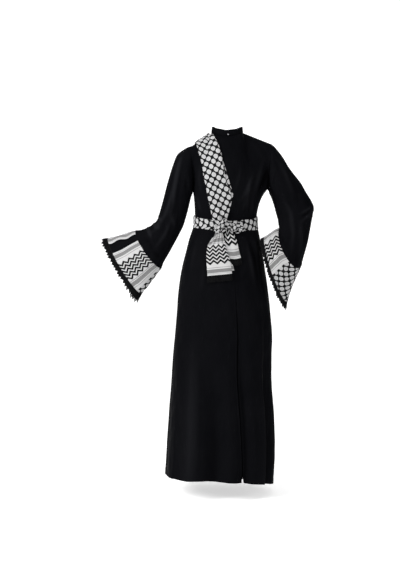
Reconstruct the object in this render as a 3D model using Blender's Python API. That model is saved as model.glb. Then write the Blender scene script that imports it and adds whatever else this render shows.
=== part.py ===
"""A long black thobe-style dress in its worn, hollow form, with bell sleeves, checked head-scarf cloth on the
cuffs, and a belt and shoulder sash of the same checked cloth tied at the back.

Metres, +Z up. The dress faces -Y, so its left side is at +X. The origin is the middle of the neck, level with
the points where the shoulder seams meet the collar.
"""

import math

import bmesh
import bpy
import numpy as np
from mathutils import Vector
from mathutils.bvhtree import BVHTree

# ---- Driving dimensions ---------------------------------------------------------------------------------

CLOTH = 0.0015  # the dress fabric, with its seam allowances
SCARF_CLOTH = 0.0012  # one layer of the checked cotton
SASH_CLOTH = 0.0024  # the sash and belt are folded double
LACE = 0.0018
SEAM_GAP = 0.0004
SASH_LIFT = 0.0010  # least height of the sash's underside over the dress
BELT_LIFT = 0.0050  # the belt's underside over the plain waist, before it is settled over the sash
BELT_CLEAR = 0.0010  # least height of the belt's underside over the dress and sash
FRINGE_DROP = 0.024
FRINGE_THICKNESS = 0.004
FRINGE_FALL = 0.8  # its lower edge stands off the skirt by this share of its tail's own stand-off

NECK_HALF_WIDTH = 0.066
NECK_BACK = 0.052
NECK_FRONT = -0.062
NECK_BACK_DROP = 0.016
NECK_FRONT_DROP = 0.030
COLLAR_HEIGHT = 0.028
COLLAR_TAPER = 0.003
BUTTON_RADIUS = 0.004
BUTTON_DOME = 0.45  # its height over its radius
BUTTON_SIDES, BUTTON_RINGS = 12, 6
BUTTON_X = -0.003
BUTTON_Z = -0.009

HEM_BACK = -1.430
UNDERARM = -0.232
WAIST = -0.372
SUPERELLIPSE = 0.9  # below 1 the horizontal sections are a little squarer than an ellipse
ARM_ROWS = 9  # rows of the body above the underarm; a sleeve has twice as many points round
AROUND = 2 * ARM_ROWS
BACK_COLUMNS = 22
BACK_NECK = (5, 15)  # the columns of the back where the neckline starts and ends
FRONT_COLUMNS = 18
FRONT_NECK = (4, 13)

# The curve from the shoulder seam down to the underarm, as the handles at its two ends: the value in the middle of
# a panel, and what is added to it at the armholes.
SEAM_HANDLE_DROP = (-0.022, 0.014)
SEAM_HANDLE_DEPTH = (0.052, 0.012)
CHEST_HANDLE_RISE = (0.085, -0.010)
CHEST_HANDLE_DEPTH = (0.006, 0.056)
ARMHOLE_REACH = 4  # how sharply the handles change near the armholes
HIP_ROW = 7  # below this row the rows tilt towards the hem

# Horizontal sections of the body below the underarm: the sides, and the depth behind and in front.
BODY_COLUMNS = ("z", "left", "right", "back", "front")
BODY = (
    (-0.232, 0.143, -0.168, 0.100, -0.120),
    (-0.262, 0.139, -0.147, 0.098, -0.117),
    (-0.295, 0.136, -0.133, 0.094, -0.109),
    (-0.337, 0.134, -0.124, 0.089, -0.099),
    (-0.366, 0.133, -0.121, 0.087, -0.095),
    (-0.395, 0.142, -0.128, 0.090, -0.098),
    (-0.445, 0.159, -0.138, 0.108, -0.106),
    (-0.496, 0.172, -0.147, 0.123, -0.112),
    (-0.546, 0.185, -0.155, 0.131, -0.117),
    (-0.647, 0.202, -0.170, 0.135, -0.123),
    (-0.748, 0.210, -0.181, 0.139, -0.130),
    (-0.849, 0.219, -0.189, 0.144, -0.137),
    (-0.926, 0.227, -0.187, 0.149, -0.143),
    (-1.053, 0.236, -0.187, 0.160, -0.155),
    (-1.156, 0.245, -0.195, 0.169, -0.164),
    (-1.335, 0.258, -0.200, 0.187, -0.181),
    (-1.480, 0.266, -0.192, 0.200, -0.194),
)
ROW_HEIGHTS = (-0.262, -0.295, -0.330, -0.356, -0.380, -0.405, -0.445, -0.500, -0.570, -0.660,
               -0.770, -0.900, -1.040, -1.180, -1.310, HEM_BACK)

# How far the hem is below HEM_BACK at each angle round it: 0 is the left side seam, 90 the middle of the back.
HEM_COLUMNS = ("angle", "drop")
HEM = ((0, 0.008), (45, 0.000), (90, 0.000), (135, 0.018), (180, 0.042), (225, 0.030), (270, 0.012), (315, 0.010),
       (360, 0.008))

# The skirt's large folds. A ridge has a height above 0 and a trough one below 0, both in metres at the hem; each
# starts at height z_top and grows to the hem, and its middle drifts from one angle to the other. Each row is
# angle_top, angle_hem, half_width, height, z_top.
FOLDS = (
    (42, 58, 12, 0.013, -0.60),
    (74, 83, 13, -0.016, -0.66),
    (92, 98, 10, 0.008, -0.70),
    (104, 114, 6, -0.018, -0.52),
    (124, 127, 11, 0.006, -0.60),
    (135, 138, 8, 0.010, -0.55),
    (148, 151, 8, -0.016, -0.52),
    (168, 167, 10, 0.006, -0.60),
    (203, 201, 13, 0.012, -0.62),
    (222, 221, 11, -0.012, -0.66),
    (242, 243, 13, 0.012, -0.60),
    (263, 264, 12, -0.010, -0.70),
    (283, 285, 13, 0.014, -0.58),
    (304, 306, 12, -0.013, -0.62),
    (326, 328, 12, 0.010, -0.66),
    (12, 10, 12, -0.008, -0.70),
)

# Shoulder seams: the ends at the armholes. The inner ends are at the neck, at height 0.
SHOULDER_LEFT = (0.147, -0.054)
SHOULDER_RIGHT = (-0.183, -0.046)

# Sections across each sleeve, from the armhole to the edge of the lace. Each row is outer_x, outer_z, under_x,
# under_z, mid_y, half_depth, lean. outer is the line over the shoulder and elbow, under the line below the arm;
# mid_y and half_depth place the section from back to front, and lean moves its back half towards the hand and its
# front half away from it. The armhole itself comes from the body.
LEFT_SLEEVE = (
    (0.180, -0.068, 0.145, -0.249, 0.000, 0.062, 0.000),
    (0.209, -0.091, 0.151, -0.266, 0.000, 0.060, 0.000),
    (0.226, -0.132, 0.156, -0.286, 0.000, 0.058, 0.000),
    (0.241, -0.178, 0.164, -0.320, -0.002, 0.055, 0.000),
    (0.255, -0.228, 0.174, -0.357, -0.004, 0.052, 0.000),
    (0.268, -0.278, 0.187, -0.393, -0.006, 0.051, 0.000),
    (0.281, -0.324, 0.206, -0.431, -0.008, 0.051, 0.000),
    (0.295, -0.364, 0.227, -0.470, -0.011, 0.051, 0.004),
    (0.327, -0.390, 0.248, -0.508, -0.016, 0.051, 0.008),
    (0.360, -0.403, 0.267, -0.540, -0.022, 0.051, 0.013),
    (0.383, -0.407, 0.278, -0.563, -0.028, 0.051, 0.018),
    (0.419, -0.416, 0.307, -0.603, -0.036, 0.051, 0.020),
    (0.457, -0.429, 0.334, -0.641, -0.044, 0.051, 0.020),
    (0.501, -0.439, 0.360, -0.674, -0.054, 0.049, 0.018),
    (0.532, -0.443, 0.376, -0.706, -0.062, 0.048, 0.016),
)
RIGHT_SLEEVE = (
    (-0.208, -0.070, -0.173, -0.240, 0.000, 0.062, 0.000),
    (-0.231, -0.099, -0.177, -0.249, 0.000, 0.060, 0.000),
    (-0.254, -0.137, -0.181, -0.260, 0.000, 0.058, 0.000),
    (-0.279, -0.172, -0.186, -0.274, 0.000, 0.057, 0.000),
    (-0.304, -0.205, -0.193, -0.294, 0.000, 0.056, 0.000),
    (-0.329, -0.245, -0.200, -0.318, 0.000, 0.056, 0.000),
    (-0.351, -0.280, -0.207, -0.339, 0.000, 0.056, 0.000),
    (-0.362, -0.309, -0.211, -0.354, 0.002, 0.056, 0.005),
    (-0.356, -0.349, -0.214, -0.366, 0.005, 0.056, 0.012),
    (-0.347, -0.399, -0.216, -0.376, 0.009, 0.056, 0.020),
    (-0.337, -0.452, -0.217, -0.385, 0.014, 0.056, 0.030),
    (-0.323, -0.502, -0.217, -0.392, 0.020, 0.056, 0.040),
    (-0.309, -0.550, -0.215, -0.398, 0.027, 0.055, 0.048),
    (-0.292, -0.588, -0.196, -0.406, 0.037, 0.053, 0.044),
    (-0.271, -0.634, -0.176, -0.417, 0.047, 0.050, 0.038),
    (-0.250, -0.695, -0.153, -0.433, 0.058, 0.046, 0.032),
    (-0.244, -0.729, -0.134, -0.441, 0.064, 0.044, 0.028),
)
CUFF_RINGS = 3  # the cuff covers this many rings before the lace, which is the last one
# The cuff's cloth leaves a strip of the black sleeve bare over the forearm, between these points round a ring.
CUFF_GAP = {"left": (2, 3), "right": (10, 11)}

# The belt's middle line: the same angles as the hem's.
BELT_COLUMNS = ("angle", "z", "half_height")
BELT = ((0, -0.366, 0.024), (45, -0.376, 0.021), (90, -0.385, 0.020), (135, -0.381, 0.023), (180, -0.373, 0.026),
        (225, -0.371, 0.025), (270, -0.370, 0.024), (315, -0.368, 0.024), (360, -0.366, 0.024))
BELT_SEGMENTS = 40
BELT_JOINT = 83  # the angle of the knot, where the belt's two ends go in
BELT_OPEN = 2  # degrees from there to each end

# The bundles of cloth where the belt is tied: the centre's x and z, half the length, depth and height, the turn
# in degrees, and how many pleats run along each.
KNOT = (0.021, -0.385, 0.037, 0.017, 0.027, 32, 5)
LOOP = (-0.044, -0.392, 0.029, 0.011, 0.025, -14, 7)
PLEAT_DEPTH = 0.10  # its share of the bundle's own depth
BUNDLE_RINGS = 8
BUNDLE_PROUD = 0.75  # how much of its half depth a bundle's middle stands off what is under it
BUNDLE_REACH = (-0.008, 0.0, 0.008)  # a bundle clears everything this near to each of its points
BUNDLE_CLEAR = 0.0014
BUNDLE_EDGE = 0.004

# The sash from the belt at the back, over the left shoulder, to the belt at the front. tilt is the direction in
# which it faces: 0 back, 90 up, 180 front. Its two edges are measured along x. Each row is tilt, z, outer_x,
# neck_x.
SASH_BACK = (
    (0, -0.404, 0.052, 0.010),
    (0, -0.372, 0.057, 0.006),
    (0, -0.346, 0.064, 0.000),
    (0, -0.311, 0.070, -0.011),
    (0, -0.281, 0.077, -0.018),
    (0, -0.252, 0.083, -0.022),
    (0, -0.221, 0.088, -0.012),
    (0, -0.189, 0.095, -0.003),
    (0, -0.160, 0.099, 0.006),
    (0, -0.135, 0.104, 0.014),
    (0, -0.115, 0.109, 0.020),
    (18, -0.115, 0.114, 0.027),
    (36, -0.115, 0.119, 0.036),
    (54, -0.115, 0.124, 0.048),
    (70, -0.115, 0.129, 0.059),
    (82, -0.115, 0.132, 0.071),
    (91, -0.115, 0.134, 0.074),
    (98, -0.115, 0.135, 0.074),
)
SASH_FRONT = (
    (98, -0.115, 0.135, 0.074),
    (108, -0.115, 0.134, 0.073),
    (121, -0.115, 0.132, 0.067),
    (140, -0.115, 0.130, 0.056),
    (160, -0.115, 0.127, 0.048),
    (180, -0.115, 0.124, 0.042),
    (180, -0.140, 0.121, 0.038),
    (180, -0.175, 0.118, 0.033),
    (180, -0.210, 0.114, 0.028),
    (180, -0.245, 0.110, 0.024),
    (180, -0.280, 0.106, 0.022),
    (180, -0.315, 0.102, 0.021),
    (180, -0.350, 0.098, 0.022),
    (180, -0.375, 0.095, 0.024),
    (180, -0.400, 0.092, 0.026),
)
SASH_STRIPS = 4

# The two hanging ends of the knot: their edges at each height, and how far they stand off the skirt. Each row is
# z, left_x, right_x, stand_off.
LONG_TAIL = (
    (-0.4162, 0.051, 0.021, 0.0175),
    (-0.430, 0.062, 0.017, 0.0150),
    (-0.445, 0.073, 0.013, 0.0130),
    (-0.462, 0.082, 0.009, 0.0120),
    (-0.490, 0.087, 0.001, 0.0110),
    (-0.520, 0.087, -0.008, 0.0105),
    (-0.550, 0.085, -0.014, 0.0100),
    (-0.578, 0.083, -0.017, 0.0100),
)
SHORT_TAIL = (
    (-0.4100, 0.008, -0.018, 0.0095),
    (-0.4200, 0.012, -0.027, 0.0080),
    (-0.440, 0.012, -0.036, 0.0065),
    (-0.460, 0.010, -0.041, 0.0055),
    (-0.480, 0.006, -0.045, 0.0050),
    (-0.500, 0.000, -0.050, 0.0050),
    (-0.514, -0.004, -0.054, 0.0050),
)
LONG_TAIL_SLANT = 0.010  # its lower edge is this much lower on the left
SHORT_TAIL_SLANT = 0.002
TAIL_STRIPS = 4

FINISHES = {
    "black_crepe": ((0.010, 0.010, 0.012), 0.78, 0.0),
    "scarf_cotton": ((0.76, 0.75, 0.74), 0.90, 0.0),
    "black_lace": ((0.008, 0.008, 0.009), 0.85, 0.0),
    "silver_metal": ((0.75, 0.75, 0.77), 0.28, 1.0),
}

BEHIND = 1.0  # a ray's start, well outside the dress
NEAR = 0.02  # a ray's start just outside a piece
SETTLE_ROUNDS = 3
SETTLE_SAMPLES = 5  # places tested along each side of a face
SHARP_ANGLE = 50  # degrees; faces that meet more sharply than this show an edge


# ---- Small tools ----------------------------------------------------------------------------------------


def column(table, names, name):
    return np.array([row[names.index(name)] for row in table], float)


def curve_through(xs, ys, at):
    """A smooth curve through the points (xs, ys), read at the places `at`. xs may rise or fall."""
    if xs[0] > xs[-1]:
        xs, ys = xs[::-1], ys[::-1]
    slopes = np.gradient(ys, xs)
    at = np.clip(at, xs[0], xs[-1])
    i = np.clip(np.searchsorted(xs, at) - 1, 0, len(xs) - 2)
    span = xs[i + 1] - xs[i]
    t = (at - xs[i]) / span
    return (
        ys[i] * (1 + 2 * t) * (1 - t) ** 2
        + slopes[i] * span * t * (1 - t) ** 2
        + ys[i + 1] * t * t * (3 - 2 * t)
        + slopes[i + 1] * span * t * t * (t - 1)
    )


def read(table, names, key, name, at):
    return curve_through(column(table, names, key), column(table, names, name), at)


def ease(t):
    t = np.clip(t, 0.0, 1.0)
    return t * t * (3 - 2 * t)


def unit(vectors):
    return vectors / np.maximum(np.linalg.norm(vectors, axis=-1, keepdims=True), 1e-12)


def normals_of(grid, closed, outward):
    """The direction across a grid of points, rows by columns. closed joins the last column to the first, and
    outward is a grid of rough directions that says which side is which."""
    if closed:
        across = np.roll(grid, -1, axis=1) - np.roll(grid, 1, axis=1)
    else:
        across = np.gradient(grid, axis=1)
    down = np.gradient(grid, axis=0)
    normals = unit(np.cross(across, down))
    return normals * (1.0 if (normals * outward).sum() > 0 else -1.0)


def without(vectors, direction):
    """The vectors with their part along one direction taken out, at unit length again."""
    direction = unit(np.array(direction, float))
    return unit(vectors - (vectors @ direction)[..., None] * direction)


# ---- The body's form ------------------------------------------------------------------------------------


def fold_height(angle, z):
    """How far the skirt stands out of its plain section, from the table of folds."""
    height = np.zeros(np.broadcast(angle, z).shape)
    for top, hem, half_width, size, z_top in FOLDS:
        grown = ease((z - z_top) / (HEM_BACK - z_top))
        middle = top + (hem - top) * grown
        apart = (angle - middle + 180) % 360 - 180
        height = height + size * grown * np.exp(-((apart / half_width) ** 2))
    return height


def body_point(angle, z):
    """A point of the body's section at height z. angle is in degrees: 0 left, 90 back, 180 right, 270 front."""
    left, right = (read(BODY, BODY_COLUMNS, "z", side, z) for side in ("left", "right"))
    behind, before = (read(BODY, BODY_COLUMNS, "z", side, z) for side in ("back", "front"))
    c, s = np.cos(np.radians(angle)), np.sin(np.radians(angle))
    depth = np.where(s >= 0, behind, -before)
    x = (left + right) / 2 + (left - right) / 2 * np.sign(c) * np.abs(c) ** SUPERELLIPSE
    y = depth * np.sign(s) * np.abs(s) ** SUPERELLIPSE
    out = fold_height(angle, z)
    return np.stack(np.broadcast_arrays(x + out * c, y + out * s, z), axis=-1)


def hem_drop(angle):
    return read(HEM, HEM_COLUMNS, "angle", "drop", angle)


def lower_rows(angles):
    """The body's rows from the underarm to the hem. The lowest rows tilt to follow the hem."""
    rows = []
    for z in (UNDERARM,) + ROW_HEIGHTS:
        share = ease((z - ROW_HEIGHTS[HIP_ROW]) / (HEM_BACK - ROW_HEIGHTS[HIP_ROW]))
        rows.append(body_point(angles, z - hem_drop(angles) * share))
    return np.array(rows)


def top_line(side, columns, neck_columns):
    """The shoulder seams and the neckline: columns + 1 points from the left armhole to the right one.
    side is 1 for the back and -1 for the front."""
    first, last = neck_columns
    depth, drop = (NECK_BACK, NECK_BACK_DROP) if side > 0 else (-NECK_FRONT, NECK_FRONT_DROP)
    points = []
    for i in range(columns + 1):
        if i < first:
            share = i / first
            x = SHOULDER_LEFT[0] + (NECK_HALF_WIDTH - SHOULDER_LEFT[0]) * share
            points.append((x, side * SEAM_GAP / 2, SHOULDER_LEFT[1] * (1 - share)))
        elif i > last:
            share = (i - last) / (columns - last)
            x = -NECK_HALF_WIDTH + (SHOULDER_RIGHT[0] + NECK_HALF_WIDTH) * share
            points.append((x, side * SEAM_GAP / 2, SHOULDER_RIGHT[1] * share))
        else:
            turn = math.pi * (i - first) / (last - first)
            y = side * (SEAM_GAP / 2 + depth * math.sin(turn))
            points.append((NECK_HALF_WIDTH * math.cos(turn), y, -drop * math.sin(turn) ** 2))
    return np.array(points)


def upper_rows(side, top, chest):
    """The body's rows from the shoulder to the underarm, each column a curve that leaves the shoulder seam
    towards the back or front and comes down upright. The outer columns are the armholes, each in one plane."""
    steps = np.linspace(0, 1, ARM_ROWS + 1)[:, None, None]
    edge = np.abs(np.linspace(-1, 1, len(top))) ** ARMHOLE_REACH
    slope = (chest[:, 0] - top[:, 0]) / (chest[:, 2] - top[:, 2])
    drop, rise = (middle + more * edge for middle, more in (SEAM_HANDLE_DROP, CHEST_HANDLE_RISE))
    out_top, out_chest = (middle + more * edge for middle, more in (SEAM_HANDLE_DEPTH, CHEST_HANDLE_DEPTH))
    leave = np.stack([slope * drop, side * out_top, drop], axis=-1)
    arrive = np.stack([slope * rise, side * out_chest, rise], axis=-1)
    a, b, c, d = top, top + leave, chest + arrive, chest
    return (
        a * (1 - steps) ** 3
        + 3 * b * steps * (1 - steps) ** 2
        + 3 * c * steps**2 * (1 - steps)
        + d * steps**3
    )


def panel_grid(side, columns, neck_columns):
    """One of the two panels, rows by columns, from the left seam to the right."""
    turn = np.linspace(0, 180, columns + 1)
    angles = turn if side > 0 else 360 - turn
    lower = lower_rows(angles)
    lower[:, 0, 1] = lower[:, -1, 1] = side * SEAM_GAP / 2
    upper = upper_rows(side, top_line(side, columns, neck_columns), lower[0])
    return np.concatenate([upper[:-1], lower])


def armhole_plane(side_name, grid):
    """The direction that an armhole faces."""
    edge = grid[: ARM_ROWS + 1, 0 if side_name == "left" else -1]
    return np.array([edge[-1][2] - edge[0][2], 0, edge[0][0] - edge[-1][0]])


def panel_normals(grid, side, neck_columns):
    """Which way each point's thickness runs. Along a seam it stays in the seam's own plane."""
    outward = np.zeros_like(grid)
    outward[..., 1] = side
    normals = normals_of(grid, False, outward)
    first, last = neck_columns
    normals[0, : first + 1] = without(normals[0, : first + 1], (0, 1, 0))
    normals[0, last:] = without(normals[0, last:], (0, 1, 0))
    for i, name in ((0, "left"), (-1, "right")):
        plane = armhole_plane(name, grid)
        normals[: ARM_ROWS + 1, i] = without(normals[: ARM_ROWS + 1, i], plane)
        normals[ARM_ROWS:, i] = without(normals[ARM_ROWS:, i], (0, 1, 0))
        flat = unit(plane)
        normals[0, i] = np.array([-flat[2], 0, flat[0]]) * (1 if flat[0] > 0 else -1)
        normals[ARM_ROWS, i] = np.array([1.0 if name == "left" else -1.0, 0, 0])
    return normals


# ---- Sleeves --------------------------------------------------------------------------------------------


def armhole_ring(name, back, front):
    """The armhole from the shoulder point down the back, under the arm and up the front."""
    i = 0 if name == "left" else -1
    down, up = back[: ARM_ROWS + 1, i], front[: ARM_ROWS + 1, i][::-1]
    ring = np.concatenate([down, up[1:-1]])
    ring[0, 1] = ring[ARM_ROWS, 1] = 0.0
    return ring


def sleeve_grid(name, table, back, front):
    """The sleeve's sections, from the armhole to the edge of the lace."""
    plane = unit(armhole_plane(name, back))
    away = plane * (1 if (plane[0] > 0) == (name == "left") else -1)
    rings = [armhole_ring(name, back, front) + away * 2 * SEAM_GAP]
    turn = np.linspace(0, 2 * math.pi, AROUND, endpoint=False)
    outer = np.array([(row[0], row[4], row[1]) for row in table])
    under = np.array([(row[2], row[4], row[3]) for row in table])
    along = unit(np.gradient((outer + under) / 2, axis=0))
    for i, row in enumerate(table):
        half_depth, lean = row[5], row[6]
        share = (1 + np.cos(turn)[:, None]) / 2
        ring = under[i] + (outer[i] - under[i]) * share
        ring[:, 1] += half_depth * np.sin(turn)
        rings.append(ring + along[i] * (lean * np.sin(turn))[:, None])
    return np.array(rings)


def sleeve_normals(grid, name, back):
    middle = grid.mean(axis=1, keepdims=True)
    normals = normals_of(grid, True, grid - middle)
    normals[0] = without(normals[0], armhole_plane(name, back))
    normals[0, 0, 1] = normals[0, ARM_ROWS, 1] = 0.0
    normals[0] = unit(normals[0])
    return normals


# ---- Making solids --------------------------------------------------------------------------------------


def finish(name):
    """A material of the part, made once."""
    made = bpy.data.materials.get(name)
    if made:
        return made
    colour, roughness, metallic = FINISHES[name]
    made = bpy.data.materials.new(name)
    made.use_nodes = True
    shader = made.node_tree.nodes["Principled BSDF"]
    shader.inputs["Base Color"].default_value = (*colour, 1.0)
    shader.inputs["Roughness"].default_value = roughness
    shader.inputs["Metallic"].default_value = metallic
    return made


def add_object(name, bm, material):
    bmesh.ops.recalc_face_normals(bm, faces=bm.faces)
    mesh = bpy.data.meshes.new(name)
    bm.to_mesh(mesh)
    bm.free()
    mesh.materials.append(finish(material))
    mesh.shade_smooth()
    mesh.set_sharp_from_angle(angle=math.radians(SHARP_ANGLE))
    made = bpy.data.objects.new(name, mesh)
    bpy.context.scene.collection.objects.link(made)
    return made


def wall(name, outer, inner, closed, material):
    """One closed wall between two grids of points, such as a panel of cloth. closed joins the last column to
    the first, as on a tube."""
    rows, columns = outer.shape[:2]
    bm = bmesh.new()
    faces = [[[bm.verts.new(p) for p in row] for row in grid] for grid in (outer, inner)]
    last = columns if closed else columns - 1
    for i in range(rows - 1):
        for j in range(last):
            k = (j + 1) % columns
            for grid in faces:
                bm.faces.new((grid[i][j], grid[i][k], grid[i + 1][k]))
                bm.faces.new((grid[i][j], grid[i + 1][k], grid[i + 1][j]))
    for i in (0, rows - 1):
        for j in range(last):
            k = (j + 1) % columns
            bm.faces.new((faces[0][i][j], faces[0][i][k], faces[1][i][k], faces[1][i][j]))
    if not closed:
        for j in (0, columns - 1):
            for i in range(rows - 1):
                bm.faces.new((faces[0][i][j], faces[0][i + 1][j], faces[1][i + 1][j], faces[1][i][j]))
    return add_object(name, bm, material)


def surface_tree(*grids):
    """A tree for finding where a ray meets the given open grids."""
    points, faces = [], []
    for grid in grids:
        rows, columns = grid.shape[:2]
        start = len(points)
        points.extend(Vector(p) for row in grid for p in row)
        for i in range(rows - 1):
            for j in range(columns - 1):
                a = start + i * columns + j
                faces.append((a, a + 1, a + columns + 1, a + columns))
    return BVHTree.FromPolygons(points, faces)


def hit(tree, target, tilt):
    """Where the surface lies on the way in to the target, from behind (0), above (90) or in front (180)."""
    out = Vector((0, math.cos(math.radians(tilt)), math.sin(math.radians(tilt))))
    found = tree.ray_cast(Vector(target) + out * BEHIND, -out)[0]
    return np.array(found if found is not None else Vector(target), float)


def split_cell(down, across):
    """The weights of a cell's four corners at a place in it, when wall() halves the cell."""
    low, high = min(down, across), max(down, across)
    return np.array(((1 - high, high - down), (high - across, low)))[..., None]


def settle(grid, outward, tree, gap):
    """The grid, moved outward where one of its faces comes nearer than gap to what lies under it."""
    grid = grid.copy()
    shares = np.linspace(0, 1, SETTLE_SAMPLES)
    for _ in range(SETTLE_ROUNDS):
        push = np.zeros(grid.shape[:2])
        for i in range(grid.shape[0] - 1):
            for j in range(grid.shape[1] - 1):
                cell = (slice(i, i + 2), slice(j, j + 2))
                for down in shares:
                    for across in shares:
                        weights = split_cell(down, across)
                        point = (grid[cell] * weights).sum(axis=(0, 1))
                        out = unit((outward[cell] * weights).sum(axis=(0, 1)))
                        found = tree.ray_cast(Vector(point + out * NEAR), Vector(-out), NEAR + gap)[0]
                        if found is not None:
                            short = gap - (point - np.array(found)) @ out
                            push[cell] = np.maximum(push[cell], short)
        grid += unit(outward) * push[..., None]
    return grid


# ---- The pieces -----------------------------------------------------------------------------------------


def make_body(back, front):
    for name, grid, side, neck in (("back", back, 1, BACK_NECK), ("front", front, -1, FRONT_NECK)):
        normals = panel_normals(grid, side, neck)
        wall(name, grid, grid - CLOTH * normals, False, "black_crepe")


def make_sleeve(name, table, back, front):
    """The sleeve with its cuff of checked cloth laid on it and its edging of lace."""
    grid = sleeve_grid(name, table, back, front)
    normals = sleeve_normals(grid, name, back)
    inner = grid - CLOTH * normals
    wall(f"sleeve_{name}", grid[:-1], inner[:-1], True, "black_crepe")

    before, after = CUFF_GAP[name]
    covered = [k % AROUND for k in range(after, before + AROUND + 1)]
    rings = slice(-2 - CUFF_RINGS, -1)
    lift = normals[rings][:, covered]
    sleeve = surface_tree(np.concatenate([grid, grid[:, :1]], axis=1))
    under = settle(grid[rings][:, covered] + SEAM_GAP * lift, lift, sleeve, SEAM_GAP)
    wall(f"cuff_{name}", under + SCARF_CLOTH * lift, under, False, "scarf_cotton")

    shift = unit(grid[-1] - grid[-2]) * SEAM_GAP * 2
    edge = np.array([grid[-2] + shift, grid[-1]])
    edge_normals = normals[-2:]
    wall(f"lace_{name}", edge, edge - LACE * edge_normals, True, "black_lace")


def make_collar(back, front):
    """A low stand-up collar, standing on the necklines of the two panels."""
    behind = back[0, BACK_NECK[0] : BACK_NECK[1] + 1]
    before = front[0, FRONT_NECK[0] + 1 : FRONT_NECK[1]]
    base = np.concatenate([behind, before[::-1]])
    base[0, 1] = base[len(behind) - 1, 1] = 0.0
    rows = []
    for share in (0.0, 0.5, 1.0):
        narrower = 1 - share * COLLAR_TAPER / NECK_HALF_WIDTH
        rows.append(base * (narrower, narrower, 1) + (0, 0, 2 * SEAM_GAP + COLLAR_HEIGHT * share))
    grid = np.array(rows)
    normals = without(normals_of(grid, True, grid * (1, 1, 0)), (0, 0, 1))
    wall("collar", grid, grid - CLOTH * normals, True, "black_crepe")


def make_button():
    """A small domed button where the collar closes, standing just off the cloth."""
    bm = bmesh.new()
    bmesh.ops.create_uvsphere(bm, u_segments=BUTTON_SIDES, v_segments=BUTTON_RINGS, radius=BUTTON_RADIUS)
    for v in bm.verts:
        v.co.z *= BUTTON_DOME
    button = add_object("neck_button", bm, "silver_metal")
    button.rotation_euler = (math.radians(-90), 0, 0)
    button.location = (BUTTON_X, NECK_BACK + BUTTON_RADIUS * BUTTON_DOME + 2 * SEAM_GAP, BUTTON_Z)


def make_belt(tree):
    """The belt is open behind the knot, where its two ends go in."""
    angles = np.linspace(BELT_JOINT + BELT_OPEN, BELT_JOINT + 360 - BELT_OPEN, BELT_SEGMENTS + 1) % 360
    middle = read(BELT, BELT_COLUMNS, "angle", "z", angles)
    half = read(BELT, BELT_COLUMNS, "angle", "half_height", angles)
    around = np.stack([np.cos(np.radians(angles)), np.sin(np.radians(angles)), 0 * angles], axis=-1)
    plain = body_point(angles, np.full_like(angles, WAIST)) + around * BELT_LIFT
    rows = [plain * (1, 1, 0) + np.outer(middle + half * share, (0, 0, 1)) for share in (1, 0, -1)]
    outward = np.array([around] * 3)
    under = settle(np.array(rows), outward, tree, BELT_CLEAR)
    normals = normals_of(under, False, outward)
    over = under + SASH_CLOTH * normals
    wall("belt", over, under, False, "scarf_cotton")
    return over


def make_sash(name, table, joint, tree):
    """A stretch of the sash, laid on the dress and lifted off it. joint is the row where it meets the other."""
    towards = 1 if joint else -1
    rows, outward = [], []
    for tilt, z, outer_x, neck_x in table:
        xs = np.linspace(outer_x, neck_x, SASH_STRIPS + 1)
        rows.append([hit(tree, (x, towards * SEAM_GAP / 2, z), tilt) for x in xs])
        facing = (0, math.cos(math.radians(tilt)), math.sin(math.radians(tilt)))
        outward.append([facing] * (SASH_STRIPS + 1))
    grid, outward = np.array(rows), np.array(outward)
    lift = unit(normals_of(grid, False, outward) + outward)
    lift[joint] = outward[joint]
    under = settle(grid + SASH_LIFT * lift, lift, tree, SASH_LIFT)
    over = under + SASH_CLOTH * lift
    wall(name, over, under, False, "scarf_cotton")
    return over


def make_bundle(name, row, tree):
    """A pleated bundle of cloth behind the dress, pressed flat on whatever is under it."""
    x_middle, z_middle, length, depth, height, turn, pleats = row
    c, s = math.cos(math.radians(turn)), math.sin(math.radians(turn))
    bm = bmesh.new()
    bmesh.ops.create_uvsphere(bm, u_segments=2 * pleats + 6, v_segments=BUNDLE_RINGS, radius=1.0)
    middle = hit(tree, (x_middle, 0, z_middle), 0)[1] + depth * BUNDLE_PROUD
    for v in bm.verts:
        across = 1 + PLEAT_DEPTH * math.cos(pleats * math.atan2(v.co.y, v.co.x))
        along, out, up = v.co.z * length, v.co.y * depth * across, v.co.x * height * across
        x, z = x_middle - along * c + up * s, z_middle + along * s + up * c
        near = [hit(tree, (x + dx, 0, z + dz), 0)[1] for dx in BUNDLE_REACH for dz in BUNDLE_REACH]
        floor = max(near) + BUNDLE_CLEAR + BUNDLE_EDGE * max(v.co.y, 0)
        v.co = (x, max(middle + out, floor), z)
    return add_object(name, bm, "scarf_cotton")


def make_tail(name, table, slant, back_tree):
    """One hanging end with its fringe. The grid runs down the end and across it, just off the skirt."""
    rows = []
    lowest, highest = table[-1][0], table[0][0]
    for z, left, right, stand_off in table:
        down = (highest - z) / (highest - lowest)
        row = []
        for share in np.linspace(0, 1, TAIL_STRIPS + 1):
            x = left + (right - left) * share
            height = z - slant * down * (1 - share)
            y = hit(back_tree, (x, 0, height), 0)[1] + stand_off
            row.append((x, y, height))
        rows.append(row)
    grid = np.array(rows)
    thickness = np.array([0, SCARF_CLOTH, 0])
    wall(name, grid + thickness, grid, False, "scarf_cotton")

    top = grid[-1] - np.array([0, FRINGE_THICKNESS / 4, 2 * SEAM_GAP])
    low = top - np.array([0, 0, FRINGE_DROP])
    low[:, 1] = [hit(back_tree, (x, 0, z), 0)[1] + table[-1][3] * FRINGE_FALL for x, _, z in low]
    fringe = np.array([top, low])
    wall(f"{name}_fringe", fringe + (0, FRINGE_THICKNESS, 0), fringe, False, "black_lace")


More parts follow.
